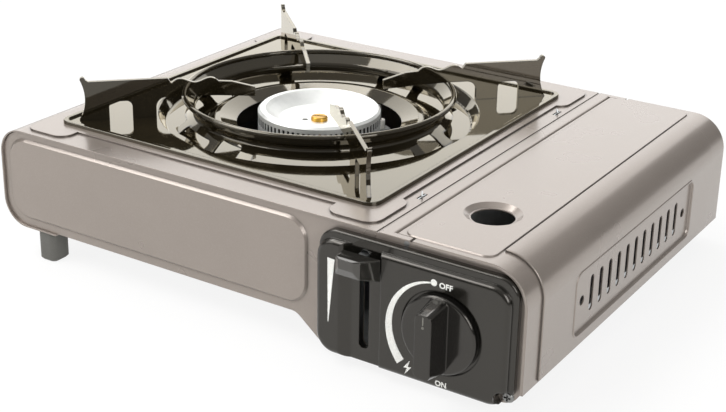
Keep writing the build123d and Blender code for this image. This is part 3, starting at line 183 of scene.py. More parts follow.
@dataclass(frozen=True)
class MetallicPaint(Finish):
    """Metallic paint sprayed on pressed sheet steel: a soft sheen with fine bright flakes."""

    flake: str = "#D6CFC6"
    flake_mm: float = 0.45
    flake_band: tuple[float, float] = (0.6, 1.0)
    flake_share: float = 0.06
    cloud_mm: float = 45.0
    cloud_tone: tuple[float, float] = (0.96, 1.03)
    cloud_gloss: tuple[float, float] = (-0.03, 0.04)
    # Painted shade: reach, band and depth of the darkening in the creases
    crease_shade_mm: float = 2.0
    crease_shade_band: tuple[float, float] = (0.5, 0.95)
    crease_shade_tone: float = 0.3
    peel_mm: float = 2.6
    peel_strength: float = 0.03
    peel_height_mm: float = 0.05
    lacquer: float = 0.35
    lacquer_roughness: float = 0.14

    def surface(
        self,
        tree: bpy.types.NodeTree,
        place: bpy.types.NodeSocket,
        shader: bpy.types.Node,
        normal: bpy.types.NodeSocket,
    ) -> None:
        """Flakes lighten the colour in points, and the sprayed film has a faint orange peel.

        Args:
            tree: the material's node tree.
            place: Object coordinates.
            shader: the material's shader.
            normal: normal with its edges eased.
        """
        # Real flakes are near 0.05 mm, too fine to show, so they are drawn about nine times as coarse
        flakes = put(
            tree,
            "ShaderNodeTexVoronoi",
            {"feature": "F1"},
            {"Vector": place, "Scale": per_mm(self.flake_mm)},
        )
        sparse = put(
            tree,
            "ShaderNodeMapRange",
            {"clamp": True},
            dict(zip(RANGE, (flakes.outputs["Color"], *self.flake_band, 0.0, self.flake_share))),
        )
        cloud = put(
            tree,
            "ShaderNodeTexNoise",
            inputs={"Vector": place, "Scale": per_mm(self.cloud_mm), "Detail": 3.0},
        )
        tone = put(
            tree,
            "ShaderNodeMapRange",
            inputs=dict(zip(RANGE, (cloud.outputs["Fac"], *NOISE_BAND, *self.cloud_tone))),
        )
        speckled = put(
            tree,
            "ShaderNodeMix",
            {"data_type": "RGBA"},
            {
                MIX_SHARE: sparse.outputs[0],
                MIX_FIRST: srgb(self.colour),
                MIX_SECOND: srgb(self.flake),
            },
        )
        toned = put(
            tree,
            "ShaderNodeVectorMath",
            {"operation": "SCALE"},
            {0: speckled.outputs[MIX_RESULT], "Scale": tone.outputs[0]},
        )
        # Painted shade: the colour is darkened where the sheet folds inward, where shade falls in the
        # creases
        shut_in = put(
            tree,
            "ShaderNodeAmbientOcclusion",
            {"samples": SHADE_SAMPLES, "only_local": True},
            {"Distance": self.crease_shade_mm * MM},
        )
        painted_crease_shade = put(
            tree,
            "ShaderNodeMapRange",
            inputs=dict(
                zip(RANGE, (shut_in.outputs["AO"], *self.crease_shade_band, self.crease_shade_tone, 1.0))
            ),
        )
        crease_shaded_colour = put(
            tree,
            "ShaderNodeVectorMath",
            {"operation": "SCALE"},
            {0: toned.outputs[0], "Scale": painted_crease_shade.outputs[0]},
        )
        tree.links.new(crease_shaded_colour.outputs[0], shader.inputs["Base Color"])
        rough = [self.roughness + swing for swing in self.cloud_gloss]
        gloss = put(
            tree,
            "ShaderNodeMapRange",
            inputs=dict(zip(RANGE, (cloud.outputs["Fac"], *NOISE_BAND, *rough))),
        )
        tree.links.new(gloss.outputs[0], shader.inputs["Roughness"])
        peel = put(
            tree,
            "ShaderNodeTexNoise",
            inputs={"Vector": place, "Scale": per_mm(self.peel_mm), "Detail": 2.0},
        )
        bump = put(
            tree,
            "ShaderNodeBump",
            inputs={
                "Strength": self.peel_strength,
                "Distance": self.peel_height_mm * MM,
                "Height": peel.outputs["Fac"],
                "Normal": normal,
            },
        )
        tree.links.new(bump.outputs[0], shader.inputs["Normal"])
        shader.inputs["Coat Weight"].default_value = self.lacquer
        shader.inputs["Coat Roughness"].default_value = self.lacquer_roughness


@dataclass(frozen=True)
class PorcelainEnamel(Finish):
    """Vitreous enamel fired on steel: deep, wet gloss with a slow ripple and a few pin marks."""

    thick: str = "#221F19"
    ripple_mm: float = 7.0
    ripple_strength: float = 0.16
    ripple_height_mm: float = 0.12
    ripple_haze: tuple[float, float] = (0.7, 1.5)
    pin_mm: float = 3.2
    pin_strength: float = 0.04
    pin_height_mm: float = 0.05
    glass_ior: float = 1.5
    glaze: float = 1.0
    glaze_roughness: float = 0.04
    glaze_tint: str = "#FFF4D8"
    shine: str = "#FFFAF0"

    def surface(
        self,
        tree: bpy.types.NodeTree,
        place: bpy.types.NodeSocket,
        shader: bpy.types.Node,
        normal: bpy.types.NodeSocket,
    ) -> None:
        """The glaze flows a little while it is fired, which bends reflections slowly.

        Args:
            tree: the material's node tree.
            place: Object coordinates.
            shader: the material's shader.
            normal: normal with its edges eased.
        """
        ripple = put(
            tree,
            "ShaderNodeTexNoise",
            inputs={"Vector": place, "Scale": per_mm(self.ripple_mm), "Detail": 1.0},
        )
        pins = put(
            tree,
            "ShaderNodeTexVoronoi",
            {"feature": "DISTANCE_TO_EDGE"},
            {"Vector": place, "Scale": per_mm(self.pin_mm)},
        )
        rough = [self.roughness * share for share in self.ripple_haze]
        haze = put(
            tree,
            "ShaderNodeMapRange",
            inputs=dict(zip(RANGE, (ripple.outputs["Fac"], *NOISE_BAND, *rough))),
        )
        tree.links.new(haze.outputs[0], shader.inputs["Roughness"])
        tint = put(
            tree,
            "ShaderNodeMix",
            {"data_type": "RGBA"},
            {
                MIX_SHARE: ripple.outputs["Fac"],
                MIX_FIRST: srgb(self.colour),
                MIX_SECOND: srgb(self.thick),
            },
        )
        tree.links.new(tint.outputs[MIX_RESULT], shader.inputs["Base Color"])
        slow = put(
            tree,
            "ShaderNodeBump",
            inputs={
                "Strength": self.ripple_strength,
                "Distance": self.ripple_height_mm * MM,
                "Height": ripple.outputs["Fac"],
                "Normal": normal,
            },
        )
        fine = put(
            tree,
            "ShaderNodeBump",
            inputs={
                "Strength": self.pin_strength,
                "Distance": self.pin_height_mm * MM,
                "Height": pins.outputs["Distance"],
                "Normal": slow.outputs[0],
            },
        )
        tree.links.new(fine.outputs[0], shader.inputs["Normal"])
        shader.inputs["IOR"].default_value = self.glass_ior
        shader.inputs["Specular Tint"].default_value = srgb(self.shine)
        shader.inputs["Coat Weight"].default_value = self.glaze
        shader.inputs["Coat Roughness"].default_value = self.glaze_roughness
        shader.inputs["Coat IOR"].default_value = self.glass_ior
        shader.inputs["Coat Tint"].default_value = srgb(self.glaze_tint)


@dataclass(frozen=True)
class MouldedPlastic(Finish):
    """Moulded plastic, rubber or ceramic, or a film of ink, with a fine grain in its skin."""

    grain_mm: float = 0.45
    grain_depth: float = 0.22
    grain_height_mm: float = 0.05
    grain_tone: tuple[float, float] = (0.9, 1.1)
    patch_mm: float = 18.0
    patch_band: tuple[float, float] = (0.35, 0.65)
    patch_gloss: tuple[float, float] = (-0.05, 0.05)
    gloss: float = 0.0
    gloss_roughness: float = 0.08
    shine: str = "#FFF6E8"

    def surface(
        self,
        tree: bpy.types.NodeTree,
        place: bpy.types.NodeSocket,
        shader: bpy.types.Node,
        normal: bpy.types.NodeSocket,
    ) -> None:
        """The grain breaks up highlights, and handling leaves it a little shinier in patches.

        Args:
            tree: the material's node tree.
            place: Object coordinates.
            shader: the material's shader.
            normal: normal with its edges eased.
        """
        # Mould grain is near 0.1 mm, so it is drawn coarser to show in the picture
        grain = put(
            tree,
            "ShaderNodeTexNoise",
            inputs={"Vector": place, "Scale": per_mm(self.grain_mm), "Detail": 2.0},
        )
        patch = put(
            tree,
            "ShaderNodeTexNoise",
            inputs={"Vector": place, "Scale": per_mm(self.patch_mm), "Detail": 2.0},
        )
        rough = [self.roughness + swing for swing in self.patch_gloss]
        gloss = put(
            tree,
            "ShaderNodeMapRange",
            inputs=dict(zip(RANGE, (patch.outputs["Fac"], *self.patch_band, *rough))),
        )
        tree.links.new(gloss.outputs[0], shader.inputs["Roughness"])
        tone = put(
            tree,
            "ShaderNodeMapRange",
            inputs=dict(zip(RANGE, (grain.outputs["Fac"], *NOISE_BAND, *self.grain_tone))),
        )
        shade = put(
            tree,
            "ShaderNodeVectorMath",
            {"operation": "SCALE"},
            {0: srgb(self.colour)[:3], "Scale": tone.outputs[0]},
        )
        tree.links.new(shade.outputs[0], shader.inputs["Base Color"])
        bump = put(
            tree,
            "ShaderNodeBump",
            inputs={
                "Strength": self.grain_depth,
                "Distance": self.grain_height_mm * MM,
                "Height": grain.outputs["Fac"],
                "Normal": normal,
            },
        )
        tree.links.new(bump.outputs[0], shader.inputs["Normal"])
        # Polished mould faces leave a skin that shines over the grain
        tree.links.new(normal, shader.inputs["Coat Normal"])
        shader.inputs["Coat Weight"].default_value = self.gloss
        shader.inputs["Coat Roughness"].default_value = self.gloss_roughness
        shader.inputs["Specular Tint"].default_value = srgb(self.shine)


@dataclass(frozen=True)
class WorkedMetal(Finish):
    """Bare metal left by rolling or casting: a grain that wanders in colour and gloss."""

    grain_mm: float = 3.0
    grain_tone: tuple[float, float] = (0.88, 1.06)
    grain_gloss: tuple[float, float] = (-0.08, 0.08)
    stretch: tuple[float, float, float] = (1.0, 1.0, 1.0)
    depth: float = 0.15
    height_mm: float = 0.05

    def surface(
        self,
        tree: bpy.types.NodeTree,
        place: bpy.types.NodeSocket,
        shader: bpy.types.Node,
        normal: bpy.types.NodeSocket,
    ) -> None:
        """Drawn out along one axis the grain reads as rolling lines, and even as a casting skin.

        Args:
            tree: the material's node tree.
            place: Object coordinates.
            shader: the material's shader.
            normal: normal with its edges eased.
        """
        # Zinc spangle is a few millimetres wide; finer grain is drawn coarser to show in the picture
        turned = put(tree, "ShaderNodeMapping", inputs={"Vector": place, "Scale": self.stretch})
        grain = put(
            tree,
            "ShaderNodeTexNoise",
            inputs={"Vector": turned.outputs[0], "Scale": per_mm(self.grain_mm), "Detail": 4.0},
        )
        rough = [self.roughness + swing for swing in self.grain_gloss]
        gloss = put(
            tree,
            "ShaderNodeMapRange",
            inputs=dict(zip(RANGE, (grain.outputs["Fac"], *NOISE_BAND, *rough))),
        )
        tree.links.new(gloss.outputs[0], shader.inputs["Roughness"])
        tone = put(
            tree,
            "ShaderNodeMapRange",
            inputs=dict(zip(RANGE, (grain.outputs["Fac"], *NOISE_BAND, *self.grain_tone))),
        )
        shade = put(
            tree,
            "ShaderNodeVectorMath",
            {"operation": "SCALE"},
            {0: srgb(self.colour)[:3], "Scale": tone.outputs[0]},
        )
        tree.links.new(shade.outputs[0], shader.inputs["Base Color"])
        bump = put(
            tree,
            "ShaderNodeBump",
            inputs={
                "Strength": self.depth,
                "Distance": self.height_mm * MM,
                "Height": grain.outputs["Fac"],
                "Normal": normal,
            },
        )
        tree.links.new(bump.outputs[0], shader.inputs["Normal"])


@dataclass(frozen=True)
class TurnedMetal(Finish):
    """Metal turned on a lathe: fine rings round the axis, which fan the highlight out."""

    centre_mm: tuple[float, float] = (0.0, 0.0)
    ring_mm: float = 5.65
    ring_waver: float = 0.6
    ring_strength: float = 0.12
    ring_height_mm: float = 0.04
    ring_gloss: tuple[float, float] = (-0.05, 0.07)
    bloom_mm: float = 9.0
    bloom_tone: tuple[float, float] = (0.92, 1.04)
    # Painted shade: the dark colour laid where the metal is shut in, its reach and its band
    hollow_shade: str = "#1B1A18"
    hollow_shade_mm: float = 1.0
    hollow_shade_band: tuple[float, float] = (0.35, 0.85)

    def surface(
        self,
        tree: bpy.types.NodeTree,
        place: bpy.types.NodeSocket,
        shader: bpy.types.Node,
        normal: bpy.types.NodeSocket,
    ) -> None:
        """Rings left by the tool, with a wandering depth, and a faint heat bloom in patches.

        Args:
            tree: the material's node tree.
            place: Object coordinates.
            shader: the material's shader.
            normal: normal with its edges eased.
        """
        centred = put(
            tree,
            "ShaderNodeMapping",
            inputs={
                "Vector": place,
                "Location": (-self.centre_mm[0] * MM, -self.centre_mm[1] * MM, 0.0),
            },
        )
        # Tool marks are near 0.2 mm apart, and drawn much coarser to show in the picture
        rings = put(
            tree,
            "ShaderNodeTexWave",
            {"wave_type": "RINGS", "rings_direction": "Z"},
            {
                "Vector": centred.outputs[0],
                "Scale": math.tau * per_mm(self.ring_mm) / WAVE_RADIANS,
                "Distortion": self.ring_waver,
                "Detail": 2.0,
            },
        )
        bloom = put(
            tree,
            "ShaderNodeTexNoise",
            inputs={"Vector": place, "Scale": per_mm(self.bloom_mm), "Detail": 3.0},
        )
        tone = put(
            tree,
            "ShaderNodeMapRange",
            inputs=dict(zip(RANGE, (bloom.outputs["Fac"], *NOISE_BAND, *self.bloom_tone))),
        )
        shade = put(
            tree,
            "ShaderNodeVectorMath",
            {"operation": "SCALE"},
            {0: srgb(self.colour)[:3], "Scale": tone.outputs[0]},
        )
        # Painted shade: the colour is darkened where the metal is shut in, as in the ports
        shut_in = put(
            tree,
            "ShaderNodeAmbientOcclusion",
            {"samples": SHADE_SAMPLES, "only_local": True},
            {"Distance": self.hollow_shade_mm * MM},
        )
        film = put(
            tree,
            "ShaderNodeMapRange",
            inputs=dict(zip(RANGE, (shut_in.outputs["AO"], *self.hollow_shade_band, 1.0, 0.0))),
        )
        hollow_shaded = put(
            tree,
            "ShaderNodeMix",
            {"data_type": "RGBA"},
            {
                MIX_SHARE: film.outputs[0],
                MIX_FIRST: shade.outputs[0],
                MIX_SECOND: srgb(self.hollow_shade),
            },
        )
        tree.links.new(hollow_shaded.outputs[MIX_RESULT], shader.inputs["Base Color"])
        rough = [self.roughness + swing for swing in self.ring_gloss]
        gloss = put(
            tree,
            "ShaderNodeMapRange",
            inputs=dict(zip(RANGE, (rings.outputs["Fac"], 0.0, 1.0, *rough))),
        )
        tree.links.new(gloss.outputs[0], shader.inputs["Roughness"])
        bump = put(
            tree,
            "ShaderNodeBump",
            inputs={
                "Strength": self.ring_strength,
                "Distance": self.ring_height_mm * MM,
                "Height": rings.outputs["Fac"],
                "Normal": normal,
            },
        )
        tree.links.new(bump.outputs[0], shader.inputs["Normal"])


BURNER_AXIS_MM = (-36.5, 11.5)

# Warm grey with a soft sheen, and painted shade where the sheet folds in
CASING_PAINT = MetallicPaint(
    "MetallicPaint_SprayedSteel", "#988E86", roughness=0.29, metallic=0.5
)
# Near black and wet looking: it mirrors the lamps and the pieces round it
BLACK_ENAMEL = PorcelainEnamel(
    "PorcelainEnamel_FiredBlack", "#191712", roughness=0.06, edge_mm=0.9
)
# Dark faces with a soft shine, and edges that catch a line of light
PANEL_PLASTIC = MouldedPlastic(
    "ABS_MouldedDarkGrey", "#151411", roughness=0.18, edge_mm=0.9, grain_depth=0.06, gloss=0.45
)
# Polished by fingers, so its coat shines more than the panel; its colour is lighter than the panel's as
# a painted highlight on its facets
TAB_PLASTIC = MouldedPlastic(
    "ABS_PolishedDarkGrey", "#2A2926", roughness=0.12, edge_mm=0.7, grain_depth=0.03, gloss=1.0
)
# Darker and smoother than the panel, with a bright rim
KNOB_PLASTIC = MouldedPlastic(
    "ABS_MouldedBlack", "#11100F", roughness=0.16, edge_mm=0.9, grain_depth=0.04, gloss=0.45
)
# Matt and dusty grey
FOOT_RUBBER = MouldedPlastic("Rubber_MouldedGrey", "#636360", roughness=0.6, grain_depth=0.3)
# Matt black
SEAL_RUBBER = MouldedPlastic("Rubber_MouldedBlack", "#1E1E1E", roughness=0.6, grain_depth=0.2)
# Smooth, pale and half matt
LEAD_SLEEVE = MouldedPlastic(
    "Silicone_ExtrudedSleeve", "#C8C2B4", roughness=0.5, grain_depth=0.08
)
# Cool grey sheet with cloudy patches of gloss
ZINC_SHEET = WorkedMetal(
    "Steel_ZincPlatedSheet", "#B9BCBD", roughness=0.36, metallic=1.0, grain_mm=4.0
)
# Grey with fine lines along the draw
SPRING_STEEL = WorkedMetal(
    "Steel_ColdDrawn",
    "#9C9C9B",
    roughness=0.34,
    metallic=1.0,
    grain_mm=1.6,
    stretch=(1.0, 0.08, 1.0),
    depth=0.04,
)
# Darker plating with a fine, uneven gloss
SCREW_STEEL = WorkedMetal(
    "Steel_ColdHeadedPlated", "#8E8E8C", roughness=0.34, metallic=1.0, grain_mm=0.8
)
# Pale and rough, with the skin of the die
CAST_ALLOY = WorkedMetal(
    "Aluminium_DieCast", "#C6C7C5", roughness=0.46, metallic=1.0, grain_mm=1.2, depth=0.35
)
# Almost white, with faint rings and painted shade in the ports
BURNER_ALLOY = TurnedMetal(
    "Aluminium_TurnedCap",
    "#F4F5F2",
    roughness=0.4,
    metallic=0.6,
    centre_mm=BURNER_AXIS_MM,
    hollow_shade_mm=3.0,
)
# Warm yellow with a fanned highlight
BRASS = TurnedMetal(
    "Brass_Turned", "#C69A45", roughness=0.26, metallic=1.0, centre_mm=BURNER_AXIS_MM, ring_mm=3.14
)
# Glossy off-white
CERAMIC = MouldedPlastic("Ceramic_GlazedInsulator", "#ECE9E1", roughness=0.16, grain_depth=0.04)
# Flat, clean white
PRINT_WHITE = MouldedPlastic("Ink_ScreenPrintedWhite", "#FBFBF7", roughness=0.55, grain_depth=0.1)
# Faint grey on the black grip: a painted highlight where the pointer's moulded groove catches light
POINTER_PAINTED_HIGHLIGHT = MouldedPlastic("Paint_PointerGrooveHighlight", "#75746F", roughness=0.4, grain_depth=0.1)


def dress(finish: Finish, names: Sequence[str]) -> None:
    """Give CAD nodes their finish, and leave their meshes as they are.

    Args:
        finish: the finish.
        names: the nodes.
    """
    for name in names:
        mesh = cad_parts[name].data
        mesh.materials.clear()
        mesh.materials.append(finish.material())
        LOG.info("dressed %s in %s", name, finish.name)


def piece(
    name: str, mesh: bpy.types.Mesh, finish: Finish, part: Part
) -> bpy.types.Object:
    """Put a finished mesh into the scene and let it ride on a body.

    Args:
        name: name of the piece.
        mesh: its mesh, already in place.
        finish: its finish.
        part: the body that it rides on.

    Returns:
        The new object.
    """
    mesh.name = name
    # A mesh from a node tree already carries its material
    if not mesh.materials:
        mesh.materials.append(finish.material())
    made = bpy.data.objects.new(name, mesh)
    bpy.context.collection.objects.link(made)
    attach(made, part.value)
    LOG.info("made %s with %d faces", name, len(mesh.polygons))
    return made


@dataclass
class Casing:
    """Wrap sheet, end plates, pan and feet."""

    painted: tuple[str, ...] = ("top_shell", "front_plate", "rear_plate")
    plain: tuple[str, ...] = ("bottom_pan", "heat_shield")
    feet: tuple[str, ...] = (
        "foot_front_left",
        "foot_rear_left",
        "foot_front_right",
        "foot_rear_right",
    )
    pins: tuple[str, ...] = ("hinge_pin_front", "hinge_pin_rear")

    def build(self) -> None:
        """Dress the casing's sheets, feet and hinge pins."""
        dress(CASING_PAINT, self.painted)
        dress(ZINC_SHEET, self.plain)
        dress(FOOT_RUBBER, self.feet)
        dress(SPRING_STEEL, self.pins)


@dataclass
class PanSupport:
    """Enamelled tray, ring and arms, which lift off together."""

    nodes: tuple[str, ...] = (
        "drip_tray",
        "windshield_ring",
        "pan_arm_front_right",
        "pan_arm_rear_right",
        "pan_arm_rear_left",
        "pan_arm_front_left",
    )

    def build(self) -> None:
        """Dress the enamelled pieces."""
        dress(BLACK_ENAMEL, self.nodes)


@dataclass
class Burner:
    """Burner, gas line and spark electrode."""

    cast: tuple[str, ...] = ("burner_base", "mixing_tube", "gas_valve")
    brass: tuple[str, ...] = ("burner_bolt", "injector", "inlet_nozzle")

    def build(self) -> None:
        """Dress the burner, the gas line and the spark electrode."""
        dress(BURNER_ALLOY, ("burner_cap",))
        dress(CAST_ALLOY, self.cast)
        dress(BRASS, self.brass)
        dress(SEAL_RUBBER, ("inlet_seal",))
        dress(CERAMIC, ("electrode_insulator",))
        dress(SPRING_STEEL, ("electrode",))
        dress(LEAD_SLEEVE, ("igniter_lead",))


@dataclass
class CartridgeBay:
    """Lid, cradle, spring and the mechanism that docks the cartridge; sizes in millimetres."""

    sheets: tuple[str, ...] = ("cartridge_cradle", "yoke_guide", "docking_yoke", "lock_slide")
    side_x: float = 170.0
    vent_centre: tuple[float, float] = (11.5, 39.2)
    vent_size: tuple[float, float] = (154.0, 34.5)
    vent_corner: float = 5.0
    bead_gap: float = 0.5
    bead_radius: float = 0.8
    bead_rise: float = 0.45
    corner_steps: int = 10
    bead_steps: int = 12

    def vent_rim(self, grow: float) -> list[tuple[float, float]]:
        """Trace the vent panel's rounded outline.

        Args:
            grow: how far outside the panel's edge, in millimetres.

        Returns:
            Points y and z in millimetres, in order.
        """
        reach = self.vent_corner + grow
        half = [size / 2 - self.vent_corner for size in self.vent_size]
        rim = []
        for quarter, (along, up) in enumerate(((1, 1), (-1, 1), (-1, -1), (1, -1))):
            for step in range(self.corner_steps + 1):
                turn = math.pi / 2 * (quarter + step / self.corner_steps)
                y = self.vent_centre[0] + along * half[0] + reach * math.cos(turn)
                z = self.vent_centre[1] + up * half[1] + reach * math.sin(turn)
                rim.append((y, z))
        return rim

    def vent_bead(self) -> bpy.types.Mesh:
        """Make the bead that is pressed round the vent panel.

        Returns:
            A closed round ridge, partly sunk in the lid's side.
        """
        shell = bmesh.new()
        loops = []
        for step in range(self.bead_steps):
            turn = math.tau * step / self.bead_steps
            x = self.side_x + self.bead_rise + self.bead_radius * (math.sin(turn) - 1)
            rim = self.vent_rim(self.bead_gap + self.bead_radius * math.cos(turn))
            loops.append([shell.verts.new((x * MM, y * MM, z * MM)) for y, z in rim])
        for near, far in zip(loops, loops[1:] + loops[:1]):
            for one, two, three, four in zip(near, near[1:] + near[:1], far[1:] + far[:1], far):
                shell.faces.new((one, two, three, four)).smooth = True
        bmesh.ops.recalc_face_normals(shell, faces=shell.faces)
        mesh = bpy.data.meshes.new("bead")
        shell.to_mesh(mesh)
        shell.free()
        return mesh

    def build(self) -> None:
        """Dress the lid and what lies under it, and press the bead round its vents."""
        dress(CASING_PAINT, ("cartridge_lid",))
        dress(ZINC_SHEET, self.sheets)
        dress(SPRING_STEEL, ("cartridge_spring",))
        piece("vent_bead", self.vent_bead(), CASING_PAINT, Part.LID)


def flat(points: Sequence[tuple[float, float]], face_y: float, depth: float) -> bpy.types.Mesh:
    """Make a thin plate that stands on an upright face.

    Args:
        points: corners of its outline, x and z in millimetres, in order.
        face_y: the face's y in millimetres; the plate stands in front of it.
        depth: the plate's thickness in millimetres.

    Returns:
        A closed mesh in metres.
    """
    shell = bmesh.new()
    corners = [shell.verts.new((x * MM, face_y * MM, z * MM)) for x, z in points]
    face = shell.faces.new(corners)
    grown = bmesh.ops.extrude_face_region(shell, geom=[face])
    moved = [item for item in grown["geom"] if isinstance(item, bmesh.types.BMVert)]
    bmesh.ops.translate(shell, verts=moved, vec=(0.0, -depth * MM, 0.0))
    bmesh.ops.recalc_face_normals(shell, faces=shell.faces)
    bmesh.ops.triangulate(shell, faces=shell.faces)
    mesh = bpy.data.meshes.new("plate")
    shell.to_mesh(mesh)
    shell.free()
    return mesh


def joined(meshes: Sequence[bpy.types.Mesh]) -> bpy.types.Mesh:
    """Put several meshes into one.

    Args:
        meshes: the meshes, which are removed.

    Returns:
        One mesh with all their faces.
    """
    whole = bmesh.new()
    for mesh in meshes:
        whole.from_mesh(mesh)
        bpy.data.meshes.remove(mesh)
    made = bpy.data.meshes.new("joined")
    whole.to_mesh(made)
    whole.free()
    return made


@dataclass
class PanelMarks:
    """Marks printed in white on the panel, and a grey pointer on the knob's grip that is a painted
    highlight of its moulded groove; sizes in millimetres.
    """

    face_y: float = -122.5
    grip_y: float = -140.0
    film: float = 0.06
    knob: tuple[float, float] = (126.5, 37.0)
    arc_from: float = 104.0
    arc_to: float = 225.0
    arc_inner: tuple[float, float] = (25.6, 28.4)
    arc_outer: tuple[float, float] = (26.4, 33.6)
    arc_steps: int = 48
    dot: tuple[float, float] = (121.7, 62.7)
    dot_radius: float = 1.75
    wedge: tuple[tuple[float, float], ...] = ((60.9, 59.6), (65.2, 59.3), (61.8, 24.2), (61.4, 24.2))
    bolt: tuple[tuple[float, float], ...] = (
        (110.0, 17.0),
        (106.3, 12.3),
        (108.4, 12.6),
        (107.1, 8.7),
        (111.0, 13.6),
        (108.8, 13.2),
    )
    words: tuple[tuple[str, float, float], ...] = (("OFF", 124.7, 60.9), ("ON", 124.4, 8.4))
    cap_height: float = 2.9
    # A capital of the built-in face is about this share of the face's size
    cap_share: float = 0.73
    letter_weight: float = 0.15
    letter_spacing: float = 1.06
    pointer_top: float = 53.0
    pointer_low: float = 48.8
    pointer_width: float = 0.7
    pointer_drop: float = 1.3
    spot_steps: int = 32

    def round_spot(
        self, middle: tuple[float, float], radius: float, face_y: float
    ) -> bpy.types.Mesh:
        """Make a round spot of ink.

        Args:
            middle: x and z of its centre in millimetres.
            radius: its radius in millimetres.
            face_y: y of the face that it stands on.

        Returns:
            The spot's mesh.
        """
        turns = [math.tau * step / self.spot_steps for step in range(self.spot_steps)]
        rim = [(middle[0] + radius * math.cos(t), middle[1] + radius * math.sin(t)) for t in turns]
        return flat(rim, face_y, self.film)

    def arc(self) -> bpy.types.Mesh:
        """Make the swelling arc beside the knob.

        Returns:
            The arc's mesh.
        """
        sides: list[list[tuple[float, float]]] = []
        for first, last in (self.arc_inner, self.arc_outer):
            side = []
            for step in range(self.arc_steps + 1):
                share = step / self.arc_steps
                turn = math.radians(self.arc_from + share * (self.arc_to - self.arc_from))
                reach = first + share * (last - first)
                x = self.knob[0] + reach * math.cos(turn)
                z = self.knob[1] + reach * math.sin(turn)
                side.append((x, z))
            sides.append(side)
        return flat(sides[0] + sides[1][::-1], self.face_y, self.film)

    def word(self, text: str, left: float, base: float) -> bpy.types.Mesh:
        """Make a word in plain capitals.

        Args:
            text: the word.
            left: x of its left edge in millimetres.
            base: z of its base line in millimetres.

        Returns:
            The word's mesh.
        """
        curve = bpy.data.curves.new("word", "FONT")
        curve.body = text
        curve.size = self.cap_height / self.cap_share * MM
        curve.extrude = self.film / 2 * MM
        curve.offset = self.letter_weight * MM
        curve.space_character = self.letter_spacing
        holder = bpy.data.objects.new("word", curve)
        bpy.context.collection.objects.link(holder)
        shown = holder.evaluated_get(bpy.context.evaluated_depsgraph_get())
        mesh = bpy.data.meshes.new_from_object(shown)
        mesh.materials.clear()
        upright = Matrix.Rotation(math.pi / 2, 4, "X")
        place = Matrix.Translation((left * MM, (self.face_y - self.film / 2) * MM, base * MM))
        mesh.transform(place @ upright)
        bpy.data.objects.remove(holder)
        bpy.data.curves.remove(curve)
        return mesh

    def build(self) -> None:
        """Print the panel's marks, and lay the pointer on the grip as a painted grey highlight."""
        marks = [
            flat(self.wedge, self.face_y, self.film),
            flat(self.bolt, self.face_y, self.film),
            self.round_spot(self.dot, self.dot_radius, self.face_y),
            self.arc(),
        ]
        marks += [self.word(*word) for word in self.words]
        piece("panel_marks", joined(marks), PRINT_WHITE, Part.CASING)
        # The pointer is painted light: a grey film where the grip's moulded groove would catch the light
        half = self.pointer_width / 2
        line = [
            (self.knob[0] - half, self.pointer_low),
            (self.knob[0] + half, self.pointer_low),
            (self.knob[0] + half, self.pointer_top),
            (self.knob[0] - half, self.pointer_top),
        ]
        spot = (self.knob[0], self.pointer_low - self.pointer_drop)
        pointer = [
            flat(line, self.grip_y, self.film / 2),
            self.round_spot(spot, self.pointer_width, self.grip_y),
        ]
        piece("knob_pointer", joined(pointer), POINTER_PAINTED_HIGHLIGHT, Part.DIAL)


@dataclass
class Controls:
    """Control panel with its knob, lever and igniter."""

    panel_nodes: tuple[str, ...] = ("control_panel",)
    tab_nodes: tuple[str, ...] = ("lever_tab",)
    knob_nodes: tuple[str, ...] = ("knob", "striker_cam", "piezo_igniter", "igniter_plunger")

    def build(self) -> None:
        """Dress the moulded pieces and print the panel."""
        dress(PANEL_PLASTIC, self.panel_nodes)
        dress(TAB_PLASTIC, self.tab_nodes)
        dress(KNOB_PLASTIC, self.knob_nodes)
        dress(SPRING_STEEL, ("knob_spindle",))
        PanelMarks().build()


